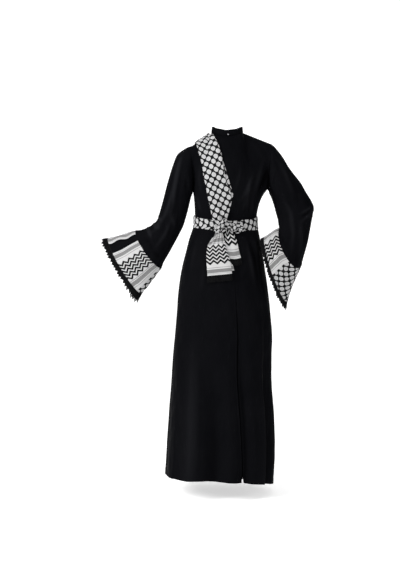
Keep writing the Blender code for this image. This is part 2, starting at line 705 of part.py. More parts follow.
def main():
    for old in list(bpy.data.objects):
        bpy.data.objects.remove(old)
    back = panel_grid(1, BACK_COLUMNS, BACK_NECK)
    front = panel_grid(-1, FRONT_COLUMNS, FRONT_NECK)
    make_body(back, front)
    make_sleeve("left", LEFT_SLEEVE, back, front)
    make_sleeve("right", RIGHT_SLEEVE, back, front)
    make_collar(back, front)
    make_button()

    dress = surface_tree(back, front)
    behind = make_sash("sash_back", SASH_BACK, -1, dress)
    before = make_sash("sash_front", SASH_FRONT, 0, dress)
    belt = make_belt(surface_tree(back, front, behind, before))
    belted = surface_tree(belt, back, behind)
    make_bundle("knot", KNOT, belted)
    make_bundle("bow_loop", LOOP, belted)
    skirt = surface_tree(back)
    make_tail("tail_long", LONG_TAIL, LONG_TAIL_SLANT, skirt)
    make_tail("tail_short", SHORT_TAIL, SHORT_TAIL_SLANT, skirt)


main()
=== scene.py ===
# %% [markdown]
# # A long thobe-style dress, tied with a checked scarf
#
# The dress is black crepe, cut in a back panel, a front panel and two bell sleeves. Cotton woven like a
# head scarf, white with a black net and zigzags, trims the cuffs and makes the belt and the shoulder
# sash. Black crochet edges the sleeves, and knotted fringe ends the two tails of the belt.
#
# A measured model of the dress is already there. Its panels are stiff and coarse, which is right for
# collisions and wrong for cloth. So each step below makes the fine cloth that takes the place of one
# measured piece, from the same few sections of the body.

# %% Load the measured dress
import math

import bpy
import numpy as np
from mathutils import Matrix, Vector
from mathutils.bvhtree import BVHTree


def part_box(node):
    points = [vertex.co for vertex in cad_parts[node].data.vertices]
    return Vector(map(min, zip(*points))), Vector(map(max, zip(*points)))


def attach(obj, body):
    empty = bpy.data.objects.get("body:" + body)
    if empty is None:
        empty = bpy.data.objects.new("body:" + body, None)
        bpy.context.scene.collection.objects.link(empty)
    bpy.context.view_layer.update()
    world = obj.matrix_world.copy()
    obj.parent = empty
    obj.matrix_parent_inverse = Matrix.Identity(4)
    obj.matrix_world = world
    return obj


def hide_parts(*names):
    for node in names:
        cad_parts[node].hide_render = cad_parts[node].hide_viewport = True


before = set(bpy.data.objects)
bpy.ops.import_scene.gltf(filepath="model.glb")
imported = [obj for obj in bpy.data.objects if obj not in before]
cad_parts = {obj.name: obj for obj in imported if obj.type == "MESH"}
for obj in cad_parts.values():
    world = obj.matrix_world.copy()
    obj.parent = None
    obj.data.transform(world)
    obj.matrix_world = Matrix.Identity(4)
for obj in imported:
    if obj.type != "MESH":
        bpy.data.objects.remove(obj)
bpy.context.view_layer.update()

print("measured pieces:", sorted(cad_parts))

# %% [markdown]
# ## Camera
#
# The dress is seen from behind, from a little above its waist and looking slightly down. A long lens
# from five metres keeps its proportions calm.

# %% Camera
CAMERA_ASIDE = 0.1134  # to the left of the neck, because the left sleeve reaches further out
CAMERA_AWAY, CAMERA_HEIGHT, AIM_HEIGHT = 5.0, -0.30, -0.6342
LONG_LENS = 75.36  # millimetres, for a sensor 36 mm wide

camera = bpy.data.objects.new("camera", bpy.data.cameras.new("camera"))
bpy.context.scene.collection.objects.link(camera)
bpy.context.scene.camera = camera
camera.location = (CAMERA_ASIDE, CAMERA_AWAY, CAMERA_HEIGHT)
looks_at = Vector((CAMERA_ASIDE, 0.0, AIM_HEIGHT))
camera.rotation_euler = (looks_at - camera.location).to_track_quat("-Z", "Y").to_euler()
camera.data.sensor_width = 36
camera.data.lens = LONG_LENS
print("camera pitch:", round(math.degrees(camera.rotation_euler.x) - 90, 2), "degrees")

# %% [markdown]
# ## Floor and wall
#
# The floor is a wide sheet of pale paper that curves up into a wall, as in a portrait studio, so that
# no horizon shows behind the dress. A flat floor and a separate wall would leave a line there.

# %% Floor and wall of pale paper
PAPER_FLOOR, PAPER_TOP = -1.512, 7.0
PAPER_NEAR, PAPER_FAR = 9.0, -4  # from behind the camera to where it starts to bend
PAPER_WIDTH = 16
PAPER_BEND = 2.0  # the radius of the bend

sweep = [(PAPER_NEAR, PAPER_FLOOR)]
for bend in np.radians(np.linspace(0, 90, 13)):
    back_to = PAPER_FAR - PAPER_BEND * math.sin(bend)
    sweep.append((back_to, PAPER_FLOOR + PAPER_BEND * (1 - math.cos(bend))))
sweep.append((PAPER_FAR - PAPER_BEND, PAPER_TOP))
paper_mesh = bpy.data.meshes.new("paper")
paper_points = [(x, y, z) for y, z in sweep for x in (-PAPER_WIDTH / 2, PAPER_WIDTH / 2)]
paper_faces = [(2 * i, 2 * i + 1, 2 * i + 3, 2 * i + 2) for i in range(len(sweep) - 1)]
paper_mesh.from_pydata(paper_points, [], paper_faces)
paper_mesh.shade_smooth()
paper = bpy.data.objects.new("paper", paper_mesh)
bpy.context.scene.collection.objects.link(paper)
print("paper:", len(paper_faces), "strips, with the floor", PAPER_FLOOR, "m from the shoulders")

# %% [markdown]
# ## Light
#
# Black cloth shows its folds only by what it reflects. A large lamp at one side makes each fold bright
# on one flank and dark on the other, a weaker one at the other side keeps the dark flanks readable, and
# a wide one above lights the shoulders. The room itself adds a low, even light.

# %% Soft lamps and a bright room


def softbox(name, place, aim, size, watts):
    """A large soft lamp that faces its aim."""
    lamp = bpy.data.objects.new(name, bpy.data.lights.new(name, "AREA"))
    lamp.data.shape = "RECTANGLE"
    lamp.data.size, lamp.data.size_y = size
    lamp.data.energy = watts
    lamp.location = place
    lamp.rotation_euler = (Vector(aim) - Vector(place)).to_track_quat("-Z", "Y").to_euler()
    bpy.context.scene.collection.objects.link(lamp)


ROOM_LIGHT = 0.20

softbox("key", (4.3, 2.7, 2.0), (0.05, 0, -0.6), (1.2, 2.4), 295)
softbox("fill", (-3.6, 4.0, 1.2), (0.05, 0, -0.7), (1.2, 2.6), 80)
softbox("top", (0.0, 0.6, 3.4), (0.0, 0, -0.4), (2.6, 2.0), 45)
room = bpy.data.worlds.new("room")
bpy.context.scene.world = room
room.use_nodes = True
room.node_tree.nodes["Background"].inputs["Color"].default_value = (1, 1, 1, 1)
room.node_tree.nodes["Background"].inputs["Strength"].default_value = ROOM_LIGHT
bpy.context.scene.view_settings.view_transform = "Standard"

# %% [markdown]
# ## Writing materials as sums
#
# A woven pattern is arithmetic: where is this thread, and which colour is it there? Blender does that
# with Math nodes. The small class below lets the sums be written as sums, and adds the nodes behind the
# scenes.

# %% A number that varies over the cloth


class Field:
    """A number on the surface. Adding, multiplying and so on adds Math nodes to the material."""

    def __init__(self, tree, socket):
        self.tree = tree
        self.socket = socket

    def node(self, operation, *others):
        made = self.tree.nodes.new("ShaderNodeMath")
        made.operation = operation
        for place, value in zip(made.inputs, (self,) + others):
            if isinstance(value, Field):
                self.tree.links.new(value.socket, place)
            else:
                place.default_value = value
        return Field(self.tree, made.outputs[0])

    def __add__(self, other):
        return self.node("ADD", other)

    def __sub__(self, other):
        return self.node("SUBTRACT", other)

    def __mul__(self, other):
        return self.node("MULTIPLY", other)

    def __truediv__(self, other):
        return self.node("DIVIDE", other)

    def part(self):
        return self.node("FRACT")

    def size(self):
        return self.node("ABSOLUTE")

    def most(self, other):
        return self.node("MAXIMUM", other)

    def least(self, other):
        return self.node("MINIMUM", other)

    def wave(self):
        return self.node("SINE")

    def flipped(self):
        """One minus this."""
        return self * -1 + 1

    def above(self, edge, softness):
        """0 below the edge and 1 above it, with a soft step of that width."""
        made = self.tree.nodes.new("ShaderNodeMapRange")
        made.interpolation_type = "SMOOTHSTEP"
        made.inputs["From Min"].default_value = edge - softness / 2
        made.inputs["From Max"].default_value = edge + softness / 2
        self.tree.links.new(self.socket, made.inputs["Value"])
        return Field(self.tree, made.outputs["Result"])

    def between(self, low, high, softness):
        return self.above(low, softness) * self.above(high, softness).flipped()


print("what a field can do:", sorted(name for name in vars(Field) if not name.startswith("_")))

# %% [markdown]
# ## The start of a material
#
# Every finish here begins in the same way: a surface shader, the place on the cloth in metres, and, for
# the crepe, how far the cloth stands out in a fold. These helpers do that, so that each finish below
# only says what is special about it.

# %% Starting a material


def new_finish(name, roughness, specular, metallic=0.0, sheen=0.0):
    """A material, its node tree and its shader. Values that are the same all over go on the shader itself."""
    made = bpy.data.materials.new(name)
    made.use_nodes = True
    tree = made.node_tree
    shader = tree.nodes["Principled BSDF"]
    shader.inputs["Roughness"].default_value = roughness
    shader.inputs["Specular IOR Level"].default_value = specular
    shader.inputs["Metallic"].default_value = metallic
    shader.inputs["Sheen Weight"].default_value = sheen
    return made, tree, shader


def cloth_place(tree):
    """The place on the cloth, in metres: across it and along it."""
    uv = tree.nodes.new("ShaderNodeUVMap")
    uv.uv_map = "cloth"
    split = tree.nodes.new("ShaderNodeSeparateXYZ")
    tree.links.new(uv.outputs[0], split.inputs[0])
    return Field(tree, split.outputs[0]), Field(tree, split.outputs[1])


def fold_of(tree):
    """How far the cloth stands out in a fold there, in metres, for the crepe's painted highlights and shade.
    It's 0 on a piece that has no such note.
    """
    note = tree.nodes.new("ShaderNodeAttribute")
    note.attribute_name = "fold"
    return Field(tree, note.outputs["Fac"])


print("every finish starts with", new_finish.__name__, "and reads its place with", cloth_place.__name__)

# %% [markdown]
# ## Colour and relief
#
# Nothing woven is quite even, so each finish mixes its colours by noise and raises its surface by a
# little. Noise gives soft lumps, a mix turns a number into a colour, and a bump turns a number into
# relief too fine for the mesh.

# %% Noise, mixed colours and bumps


def cloud(tree, scale, detail=2.0, stretch=(1, 1, 1)):
    """Soft noise that is fixed to the object. scale is in lumps for each metre."""
    place = tree.nodes.new("ShaderNodeTexCoord")
    mapping = tree.nodes.new("ShaderNodeMapping")
    mapping.inputs["Scale"].default_value = stretch
    noise = tree.nodes.new("ShaderNodeTexNoise")
    noise.inputs["Scale"].default_value = scale
    noise.inputs["Detail"].default_value = detail
    tree.links.new(place.outputs["Object"], mapping.inputs["Vector"])
    tree.links.new(mapping.outputs["Vector"], noise.inputs["Vector"])
    return Field(tree, noise.outputs["Fac"])


def blend(tree, share, low, high):
    """A colour between two, each a tuple or another blend."""
    made = tree.nodes.new("ShaderNodeMix")
    made.data_type = "RGBA"
    tree.links.new(share.socket, made.inputs["Factor"])
    for place, colour in (("A", low), ("B", high)):
        socket = [i for i in made.inputs if i.name == place and i.type == "RGBA"][0]
        if isinstance(colour, tuple):
            socket.default_value = (*colour, 1)
        else:
            tree.links.new(colour, socket)
    return [o for o in made.outputs if o.type == "RGBA"][0]


def raise_surface(tree, shader, height, distance, strength):
    """Bumps from a height between 0 and 1, which stands for that distance in metres."""
    bump = tree.nodes.new("ShaderNodeBump")
    bump.inputs["Distance"].default_value = distance
    bump.inputs["Strength"].default_value = strength
    tree.links.new(height.socket, bump.inputs["Height"])
    tree.links.new(bump.outputs["Normal"], shader.inputs["Normal"])


print("helpers for colour and relief:", cloud.__name__, blend.__name__, raise_surface.__name__)

# %% [markdown]
# ## Black crepe
#
# Crepe is woven from hard-twisted yarn, which pulls up into a fine pebbled surface and makes it matt.
# Two sizes of noise make the pebbles, and thin lines of the weave run under them. The black is slightly
# uneven, as dyed cloth is.
#
# The folds are given painted light. Each mesh notes how far its cloth stands out in a fold, and the
# finish reads that number: crests get a painted highlight, a little lighter, and valleys painted shade,
# a little darker. Close to the hem a row of stitches dents the cloth, so the finish also reads the
# distance along the cloth, which starts at 0 at the hem of the skirt.

# %% The crepe finish
CREPE_BLACK = (0.0027, 0.0028, 0.0036)
CREPE_WORN = (0.0040, 0.0041, 0.0050)
# a painted highlight for the crests of folds, and painted shade for their valleys
CREPE_PAINTED_HIGHLIGHT = (0.0090, 0.0092, 0.0108)
CREPE_PAINTED_SHADE = (0.0014, 0.0014, 0.0018)
CREPE_THREAD = 0.0009 / (2 * math.pi)  # a wave of the weave is 0.9 mm long
STITCH_LENGTH = 0.0032
HEM_TURN = 0.020  # how far the hem is turned up
PAINTED_HIGHLIGHT_HEIGHT, PAINTED_SHADE_DEPTH = 0.0028, 0.0020  # how far out or in the cloth is where its colour is half changed to the painted highlight or the painted shade

crepe, tree, shader = new_finish("black_crepe", 0.62, 0.004)
across, along = cloth_place(tree)
pebbles = cloud(tree, 1500, 3.0)
slubs = cloud(tree, 420, 2.0, (1, 1, 0.25))
shade = cloud(tree, 9, 3.0) * 0.6 + slubs * 0.4
fold = fold_of(tree)
plain = blend(tree, shade.above(0.5, 0.5), CREPE_BLACK, CREPE_WORN)
# painted highlight where the cloth stands out in a fold, painted shade where it sinks in
with_painted_highlights = blend(tree, fold.above(PAINTED_HIGHLIGHT_HEIGHT, 0.0048), plain, CREPE_PAINTED_HIGHLIGHT)
with_painted_shade = blend(tree, (fold * -1).above(PAINTED_SHADE_DEPTH, 0.0036), with_painted_highlights, CREPE_PAINTED_SHADE)
tree.links.new(with_painted_shade, shader.inputs["Base Color"])
stitch = (across / STITCH_LENGTH).part().between(0.15, 0.75, 0.2)
stitch = stitch * along.between(HEM_TURN - 0.0006, HEM_TURN + 0.0006, 0.0008)
weave = (across / CREPE_THREAD).wave() * 0.015 + (along / CREPE_THREAD).wave() * 0.015
raise_surface(tree, shader, pebbles * 0.7 + slubs * 0.3 + weave - stitch * 1.2, 0.0004, 0.55)
rough = slubs.above(0.5, 0.6) * 0.10 + 0.50
tree.links.new(rough.socket, shader.inputs["Roughness"])
print("crepe nodes:", len(tree.nodes))

# %% [markdown]
# ## The woven figures
#
# Scarf cotton is woven white, with black yarn brought to the face for the figures. From a cut edge
# inwards it has a white selvedge, grey stripes, a plain band, five zigzags, a plain band, more stripes,
# and then the net that fills the rest. All of it is drawn from the distance across and along the cloth
# in metres. Cuffs and tails start at 0 and show the whole order, and the belt and sash start further
# in, where there is only net.
#
# The net's diamonds lie on the bias. Its black lines are a little thicker one way than the other, with
# a black knot at each crossing, which leaves each white cell with cut corners. The figures step from
# thread to thread, so the place is first rounded to the nearest thread.

# %% The net, the zigzags and the stripes
THREAD = 0.0011
NET_ACROSS, NET_ALONG = 0.0306, 0.0355
NET_STARTS = 0.174
NET_THICK, NET_THIN = 0.364, 0.392  # where the net's lines start: 0 is mid-diamond and 0.5 its side
NET_KNOT, CELL_MIDDLE = 0.103, 0.27  # the size of the knots, and where the grey middle of a cell ends
ZIGZAG_FIRST, ZIGZAG_APART, ZIGZAG_COUNT = 0.0535, 0.0158, 5
ZIGZAG_PERIOD, ZIGZAG_RISE, ZIGZAG_HALF = 0.0285, 0.0125, 0.0049
STRIPES = (  # from and to
    (0.0055, 0.0070),
    (0.0095, 0.0245),
    (0.0300, 0.0322),
    (0.1300, 0.1318),
    (0.1365, 0.1530),
    (0.1585, 0.1602),
)


def on_thread(place):
    """The middle of the nearest thread."""
    return (place / THREAD).node("FLOOR") * THREAD + THREAD / 2


def net(across, along):
    """How black the net is, and how near the middle of its cell a place is."""
    one = ((across / NET_ACROSS + along / NET_ALONG).part() - 0.5).size()
    other = ((across / NET_ACROSS - along / NET_ALONG).part() - 0.5).size()
    thick = one.above(NET_THICK, 0.03)
    thin = other.above(NET_THIN, 0.03)
    from_crossing = (one - 0.5) * (one - 0.5) + (other - 0.5) * (other - 0.5)
    knots = from_crossing.above(NET_KNOT, 0.016).flipped()
    middle = one.most(other).above(CELL_MIDDLE, 0.12).flipped()
    return thick.most(thin).most(knots), middle


def zigzags(across, along):
    """1 on the black of the zigzags."""
    saw = ((across / ZIGZAG_PERIOD).part() - 0.5).size() * (2 * ZIGZAG_RISE)
    leaned = along - saw
    first = ZIGZAG_FIRST - ZIGZAG_RISE / 2
    line = (((leaned - first) / ZIGZAG_APART + 0.5).part() - 0.5).size() * ZIGZAG_APART
    last = first + (ZIGZAG_COUNT - 0.5) * ZIGZAG_APART
    inside = leaned.between(first - ZIGZAG_APART / 2, last, 0.0004)
    return line.above(ZIGZAG_HALF, 0.001).flipped() * inside


print("border:", NET_STARTS, "m deep, with", ZIGZAG_COUNT, "zigzags and", len(STRIPES), "stripes")

# %% [markdown]
# ## Scarf cotton
#
# Plain weave shows as a fine checker of threads over and under, and the black yarn of the figures
# stands a little higher than the white. The middle of each cell is slightly grey, because the black
# yarn runs along behind it. Stripes are grey because they mix the two yarns line by line.

# %% The scarf finish
SCARF_WHITE = (0.54, 0.538, 0.540)
SCARF_GREY = (0.42, 0.42, 0.425)
SCARF_BLACK = (0.004, 0.004, 0.0045)
STRIPE_GREY = (0.105, 0.104, 0.104)
LINE_WIDTH = 0.0030  # of the fine lines in a stripe

scarf, tree, shader = new_finish("scarf_cotton", 0.86, 0.12)
across, along = cloth_place(tree)
stepped_across, stepped_along = on_thread(across), on_thread(along)
black, cell = net(stepped_across, stepped_along)
is_net = stepped_along.above(NET_STARTS, 0.001)
zigzag = zigzags(stepped_across, stepped_along)
stripe = stepped_along.between(*STRIPES[0], 0.0005)
for low, high in STRIPES[1:]:
    stripe = stripe.most(stepped_along.between(low, high, 0.0005))
fine_lines = (along / LINE_WIDTH).part().above(0.55, 0.3)
over = (across / THREAD * math.pi).wave()
under = (along / THREAD * math.pi).wave()
threads = over * under
dirt = cloud(tree, 35, 3.0)
greyness = (cell * is_net * 0.8 + threads.size() * 0.15 + dirt * 0.15).least(1)
white = blend(tree, greyness, SCARF_WHITE, SCARF_GREY)
striped = blend(tree, stripe * (fine_lines * 0.35 + 0.62), white, STRIPE_GREY)
figures = (black * is_net).most(zigzag)
tree.links.new(blend(tree, figures, striped, SCARF_BLACK), shader.inputs["Base Color"])
raise_surface(tree, shader, threads * 0.5 + figures * 0.9 + dirt * 0.3, 0.0005, 0.7)
print("scarf nodes:", len(tree.nodes))

# %% [markdown]
# ## Cord, metal and paper
#
# The crochet and the fringe are hard-twisted black cord. Slanting lines round each cord make its plies.
# The one button at the neck is polished metal, with fine scratches in its roughness. The studio paper
# is pale and shines faintly by itself, so that it stays even from edge to edge.

# %% Black cord, the button's metal and the paper
CORD_DARK, CORD_PALE = (0.0016, 0.0016, 0.0020), (0.0060, 0.0060, 0.0068)
METAL_DARK, METAL_PALE = (0.26, 0.26, 0.27), (0.36, 0.36, 0.37)
PAPER_WHITE, PAPER_WHITER = (0.86, 0.86, 0.86), (0.90, 0.90, 0.90)
PAPER_GLOW = 0.56
PLY = 0.0022  # the length of cord in which a ply goes once round

cord_finish, tree, shader = new_finish("black_cord", 0.60, 0.08, sheen=0.004)
across, along = cloth_place(tree)
ply = ((across * 2 + along / PLY) * (2 * math.pi)).wave()
fuzz = cloud(tree, 900, 2.0)
strand = blend(tree, ply * 0.35 + fuzz * 0.6, CORD_DARK, CORD_PALE)
tree.links.new(strand, shader.inputs["Base Color"])
raise_surface(tree, shader, ply + fuzz, 0.0003, 0.6)

metal_finish, tree, shader = new_finish("silver_metal", 0.22, 0.5, metallic=1.0)
scratches = cloud(tree, 700, 4.0, (1, 1, 6))
silver = blend(tree, scratches, METAL_DARK, METAL_PALE)
tree.links.new(silver, shader.inputs["Base Color"])
tree.links.new((scratches * 0.25 + 0.12).socket, shader.inputs["Roughness"])

paper_finish, tree, shader = new_finish("studio_paper", 0.9, 0.2)
pale = blend(tree, cloud(tree, 3, 2.0), PAPER_WHITE, PAPER_WHITER)
tree.links.new(pale, shader.inputs["Base Color"])
shader.inputs["Emission Color"].default_value = (1, 1, 1, 1)
shader.inputs["Emission Strength"].default_value = PAPER_GLOW
paper.data.materials.append(paper_finish)
print("materials:", [m.name for m in bpy.data.materials])

# %% [markdown]
# ## From a grid of points to a piece of cloth
#
# Every flat piece here is a grid: rows down the cloth and columns across it. A grid is easy to shape
# with sums, and it knows its own weave, because the distances along its rows and columns are the
# cloth's own measure. The helpers below find directions and lengths on a grid.

# %% Directions and lengths


def unit(vectors):
    """The same directions, one metre long."""
    return vectors / np.maximum(np.linalg.norm(vectors, axis=-1, keepdims=True), 1e-12)


def ease(t):
    """From 0 to 1, slow at both ends."""
    t = np.clip(t, 0.0, 1.0)
    return t * t * (3 - 2 * t)


def bell(distance, half_width):
    """1 at the middle, and near 0 two half widths away."""
    return np.exp(-((distance / half_width) ** 2))


def normals_of(grid, outward, closed=False):
    """The direction out of a grid at each point. outward is a rough direction that says which side is out."""
    if closed:
        across = np.roll(grid, -1, axis=1) - np.roll(grid, 1, axis=1)
    else:
        across = np.gradient(grid, axis=1)
    normals = unit(np.cross(across, np.gradient(grid, axis=0)))
    return normals * (1.0 if (normals * outward).sum() > 0 else -1.0)


def measure(grid, closed=False):
    """How far each point is across and along the cloth, in metres. A closed grid gets one more column."""
    if closed:
        grid = np.concatenate([grid, grid[:, :1]], axis=1)
    across = np.zeros(grid.shape[:2])
    along = np.zeros(grid.shape[:2])
    across[:, 1:] = np.cumsum(np.linalg.norm(np.diff(grid, axis=1), axis=-1), axis=1)
    along[1:] = np.cumsum(np.linalg.norm(np.diff(grid, axis=0), axis=-1), axis=0)
    return np.stack([across, along], axis=-1)


print("halfway between 0 and 1:", ease(0.5), "and a bell one half width away:", round(bell(1, 1), 3))

# %% [markdown]
# ## Smooth curves
#
# The body and the sleeves are tables with only a few rows, as a pattern cutter measures them. A smooth
# curve through a table fills in the rest. It passes through every row, which a Bezier curve with the
# same points as its handles wouldn't.

# %% Smooth curves through a table


def hermite(start, start_slope, end, end_slope, t):
    """A smooth curve from start to end, with those slopes at its two ends."""
    return (
        start * (1 + 2 * t) * (1 - t) ** 2
        + start_slope * t * (1 - t) ** 2
        + end * t * t * (3 - 2 * t)
        + end_slope * t * t * (t - 1)
    )


def through(table, column, at):
    """A smooth curve through one column of a table, read at places in its first column."""
    table = np.array(sorted(table), float)
    xs, ys = table[:, 0], table[:, column]
    slopes = np.gradient(ys, xs)
    at = np.clip(at, xs[0], xs[-1])
    i = np.clip(np.searchsorted(xs, at) - 1, 0, len(xs) - 2)
    span = xs[i + 1] - xs[i]
    return hermite(ys[i], slopes[i] * span, ys[i + 1], slopes[i + 1] * span, (at - xs[i]) / span)


def smooth_rows(rows, places):
    """Rows read between the given ones: place 2.5 is halfway from the third row to the fourth."""
    slopes = np.gradient(rows, axis=0)
    i = np.clip(places.astype(int), 0, len(rows) - 2)
    t = (places - i).reshape((-1,) + (1,) * (rows.ndim - 1))
    return hermite(rows[i], slopes[i], rows[i + 1], slopes[i + 1], t)


HALFWAY = ((0, 0), (1, 1), (2, 0))
print("halfway to the top of", HALFWAY, "is", through(HALFWAY, 1, np.array(0.5)))

# %% [markdown]
# ## A shell
#
# Cloth has two faces and cut edges. The Solidify modifier could give a grid its thickness, but both
# faces are made here directly, so that the edges are closed and the thickness is exact.

# %% A thin closed shell


def shell(outer, inner, uv, closed=False):
    """The points, faces and weave of thin cloth between two grids. uv is each point's place on the cloth."""
    rows, columns = outer.shape[:2]
    row, column = np.arange(rows - 1), np.arange(columns if closed else columns - 1)
    i, j = (part.ravel() for part in np.meshgrid(row, column, indexing="ij"))
    top, bottom = 0 * column, 0 * column + rows - 1
    left, right = 0 * row, 0 * row + columns - 1
    cells = [((0, i, j), (0, i, j + 1), (0, i + 1, j + 1), (0, i + 1, j))]
    cells.append(tuple((1, a, b) for _, a, b in cells[0][::-1]))
    cells.append(((0, top, column + 1), (0, top, column), (1, top, column), (1, top, column + 1)))
    cells.append(((0, bottom, column), (0, bottom, column + 1), (1, bottom, column + 1), (1, bottom, column)))
    if not closed:
        cells.append(((0, row, left), (0, row + 1, left), (1, row + 1, left), (1, row, left)))
        cells.append(((0, row + 1, right), (0, row, right), (1, row, right), (1, row + 1, right)))

    def number(face, a, b):
        return face * rows * columns + a * columns + b % columns

    faces = np.concatenate([np.stack([number(*corner) for corner in cell], 1) for cell in cells])
    weave = np.concatenate([np.stack([uv[a, b] for _, a, b in cell], 1) for cell in cells])
    points = np.concatenate([outer.reshape(-1, 3), inner.reshape(-1, 3)])
    a, b, c, d = (points[faces[:, k]] for k in range(4))
    inside_out = (a * (np.cross(b, c) + np.cross(c, d))).sum() < 0
    if inside_out:
        faces, weave = faces[:, ::-1], weave[:, ::-1]
    return points, faces.tolist(), weave.reshape(-1, 2)


square = np.stack(np.meshgrid([0.0, 1.0], [0.0, 1.0]) + [np.zeros((2, 2))], axis=-1)
print("a shell over one square has", len(shell(square, square - (0, 0, 0.1), square[..., :2])[1]), "faces")

# %% [markdown]
# ## A tube and a cord
#
# Cord, a bunch of cloth and the button are all tubes: rings of points, one after another, with a flat
# face at each end. A curve with a bevel could make a cord too, but a tube of rings keeps each cord's
# length as its weave, which its plies need.

# %% A tube from rings, and a round cord


def tube(rings, uv, closed=False):
    """The points, faces and weave of a tube through rings of points, with a flat face at each open end.

    uv has one more column than the rings, and one more row where the tube is closed.
    """
    rows, columns = rings.shape[:2]
    faces, weave = [], []
    for i in range(rows if closed else rows - 1):
        for j in range(columns):
            corners = ((i, j), (i, j + 1), (i + 1, j + 1), (i + 1, j))
            faces.append([a % rows * columns + b % columns for a, b in corners])
            weave += [uv[a, b] for a, b in corners]
    if not closed:
        faces += [list(range(columns))[::-1], [(rows - 1) * columns + j for j in range(columns)]]
        weave += [uv[0, 0]] * (2 * columns)
    return rings.reshape(-1, 3), faces, np.array(weave)


def cord(path, radius, up, sides=6, closed=False):
    """A round cord along a path. radius may vary along it, and up is a rough sideways direction."""
    path = np.asarray(path, float)
    ahead = np.gradient(path, axis=0)
    if closed:
        ahead = np.roll(path, -1, axis=0) - np.roll(path, 1, axis=0)
    aside = unit(np.cross(ahead, up))
    over = unit(np.cross(aside, ahead))
    turn = np.linspace(0, 2 * math.pi, sides, endpoint=False)
    ring = aside[:, None] * np.cos(turn)[:, None] + over[:, None] * np.sin(turn)[:, None]
    rings = path[:, None] + ring * np.broadcast_to(radius, len(path))[:, None, None]
    length = np.concatenate([[0], np.cumsum(np.linalg.norm(np.diff(path, axis=0), axis=1))])
    if closed:
        length = np.append(length, length[-1])
    around = np.arange(sides + 1) / sides
    return tube(rings, np.stack(np.broadcast_arrays(around, length[:, None]), axis=-1), closed)


print("a short cord has", len(cord([(0, 0, 0), (0, 0, 0.01)], 0.001, (0, 1, 0))[1]), "faces")

# %% [markdown]
# ## The mesh of a piece
#
# A piece is one mesh of all its shells and cords, with one finish. It rides on the dress and stands for
# the measured piece that it replaces. A crepe piece also carries a number at each point, for how far it
# stands out in a fold, which the crepe turns into painted highlight and painted shade.

# %% The mesh of a piece


def mesh_piece(name, parts, finish, slot, *nodes):
    """A mesh of several shells or cords, which rides on the dress and stands for the named measured nodes."""
    points, faces, weave = [], [], []
    for part_points, part_faces, part_weave in parts:
        first = sum(map(len, points))
        points.append(part_points)
        faces += [[first + k for k in face] for face in part_faces]
        weave.append(part_weave)
    mesh = bpy.data.meshes.new(name)
    mesh.from_pydata(np.concatenate(points).tolist(), [], faces)
    mesh.uv_layers.new(name="cloth").data.foreach_set("uv", np.concatenate(weave).astype(np.float32).ravel())
    mesh.materials.append(finish)
    mesh.shade_smooth()
    mesh.set_sharp_from_angle(angle=math.radians(65))
    piece = bpy.data.objects.new(name, mesh)
    bpy.context.scene.collection.objects.link(piece)
    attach(piece, "root")
    if nodes:
        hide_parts(*nodes)
    print(name, "has", len(faces), "faces")
    return piece


def note_folds(piece, height):
    """Notes how far each point of a shell stands out in a fold, from which the crepe paints its highlights
    and shade.
    """
    note = piece.data.attributes.new("fold", "FLOAT", "POINT")
    note.data.foreach_set("value", np.tile(height.ravel(), 2).astype(np.float32))


print("a piece is made with", mesh_piece.__name__, "and its folds are noted with", note_folds.__name__)

# %% [markdown]
# ## What a piece says about its cloth
#
# Each piece of cloth prints how large its flat cut is, and its area. Both the cut
# and its area are measured on the piece's own grid, so they stay right when a fold is changed.

# %% What a piece says about its cloth


def area_of(grid):
    """The area of a grid of points, from the diagonals of its cells, in square metres."""
    one, other = grid[1:, 1:] - grid[:-1, :-1], grid[1:, :-1] - grid[:-1, 1:]
    return float(np.linalg.norm(np.cross(one, other), axis=-1).sum() / 2)


def cut_sheet(piece, grid, closed=False):
    """Prints a piece's cut, which is the widest and longest measure of its grid, and its area."""
    if closed:
        grid = np.concatenate([grid, grid[:, :1]], axis=1)
    across, along = measure(grid).reshape(-1, 2).max(axis=0)
    area = area_of(grid)
    print(f"{piece.name}: cut {across:.3f} x {along:.3f} m, {area:.4f} square metres")


print("area of a square of 1 m:", area_of(square), "square metres")

# %% [markdown]
# ## The body's form
#
# The body below the arms is read from a table of level sections: how far it reaches left, right, back
# and front at each height. The hem isn't level: a second table says how much lower it hangs than at the
# middle of the back.

# %% Level sections and the hem
UNDERARM, WAIST, HIP, HEM_BACK = -0.232, -0.372, -0.500, -1.430
BODY = (  # height, left, right, back, front
    (-0.232, 0.143, -0.168, 0.100, -0.120),
    (-0.262, 0.139, -0.147, 0.098, -0.117),
    (-0.295, 0.136, -0.133, 0.094, -0.109),
    (-0.337, 0.134, -0.124, 0.089, -0.099),
    (-0.366, 0.133, -0.121, 0.087, -0.095),
    (-0.395, 0.142, -0.128, 0.090, -0.098),
    (-0.445, 0.159, -0.138, 0.108, -0.106),
    (-0.496, 0.172, -0.147, 0.123, -0.112),
    (-0.546, 0.185, -0.155, 0.131, -0.117),
    (-0.647, 0.202, -0.170, 0.135, -0.123),
    (-0.748, 0.210, -0.181, 0.139, -0.130),
    (-0.849, 0.219, -0.189, 0.144, -0.137),
    (-0.926, 0.227, -0.187, 0.149, -0.143),
    (-1.053, 0.236, -0.187, 0.160, -0.155),
    (-1.156, 0.245, -0.195, 0.169, -0.164),
    (-1.335, 0.258, -0.200, 0.187, -0.181),
    (-1.480, 0.266, -0.192, 0.200, -0.194),
)
HEM = (  # angle, how far the hem is below its height at the middle of the back
    (0, 0.008),
    (45, 0.0),
    (90, 0.0),
    (135, 0.018),
    (180, 0.042),
    (225, 0.030),
    (270, 0.012),
    (315, 0.010),
    (360, 0.008),
)
print("waist to hem at the back:", round(WAIST - HEM_BACK, 3), "m")

# %% [markdown]
# ## The folds of the skirt
#
# Folds are bumps in the distance from the middle, each with an angle, a width and a height, that grow
# towards the hem as real folds do when cloth hangs from the hips. A cloth simulation would fold too,
# but not where each fold is wanted.

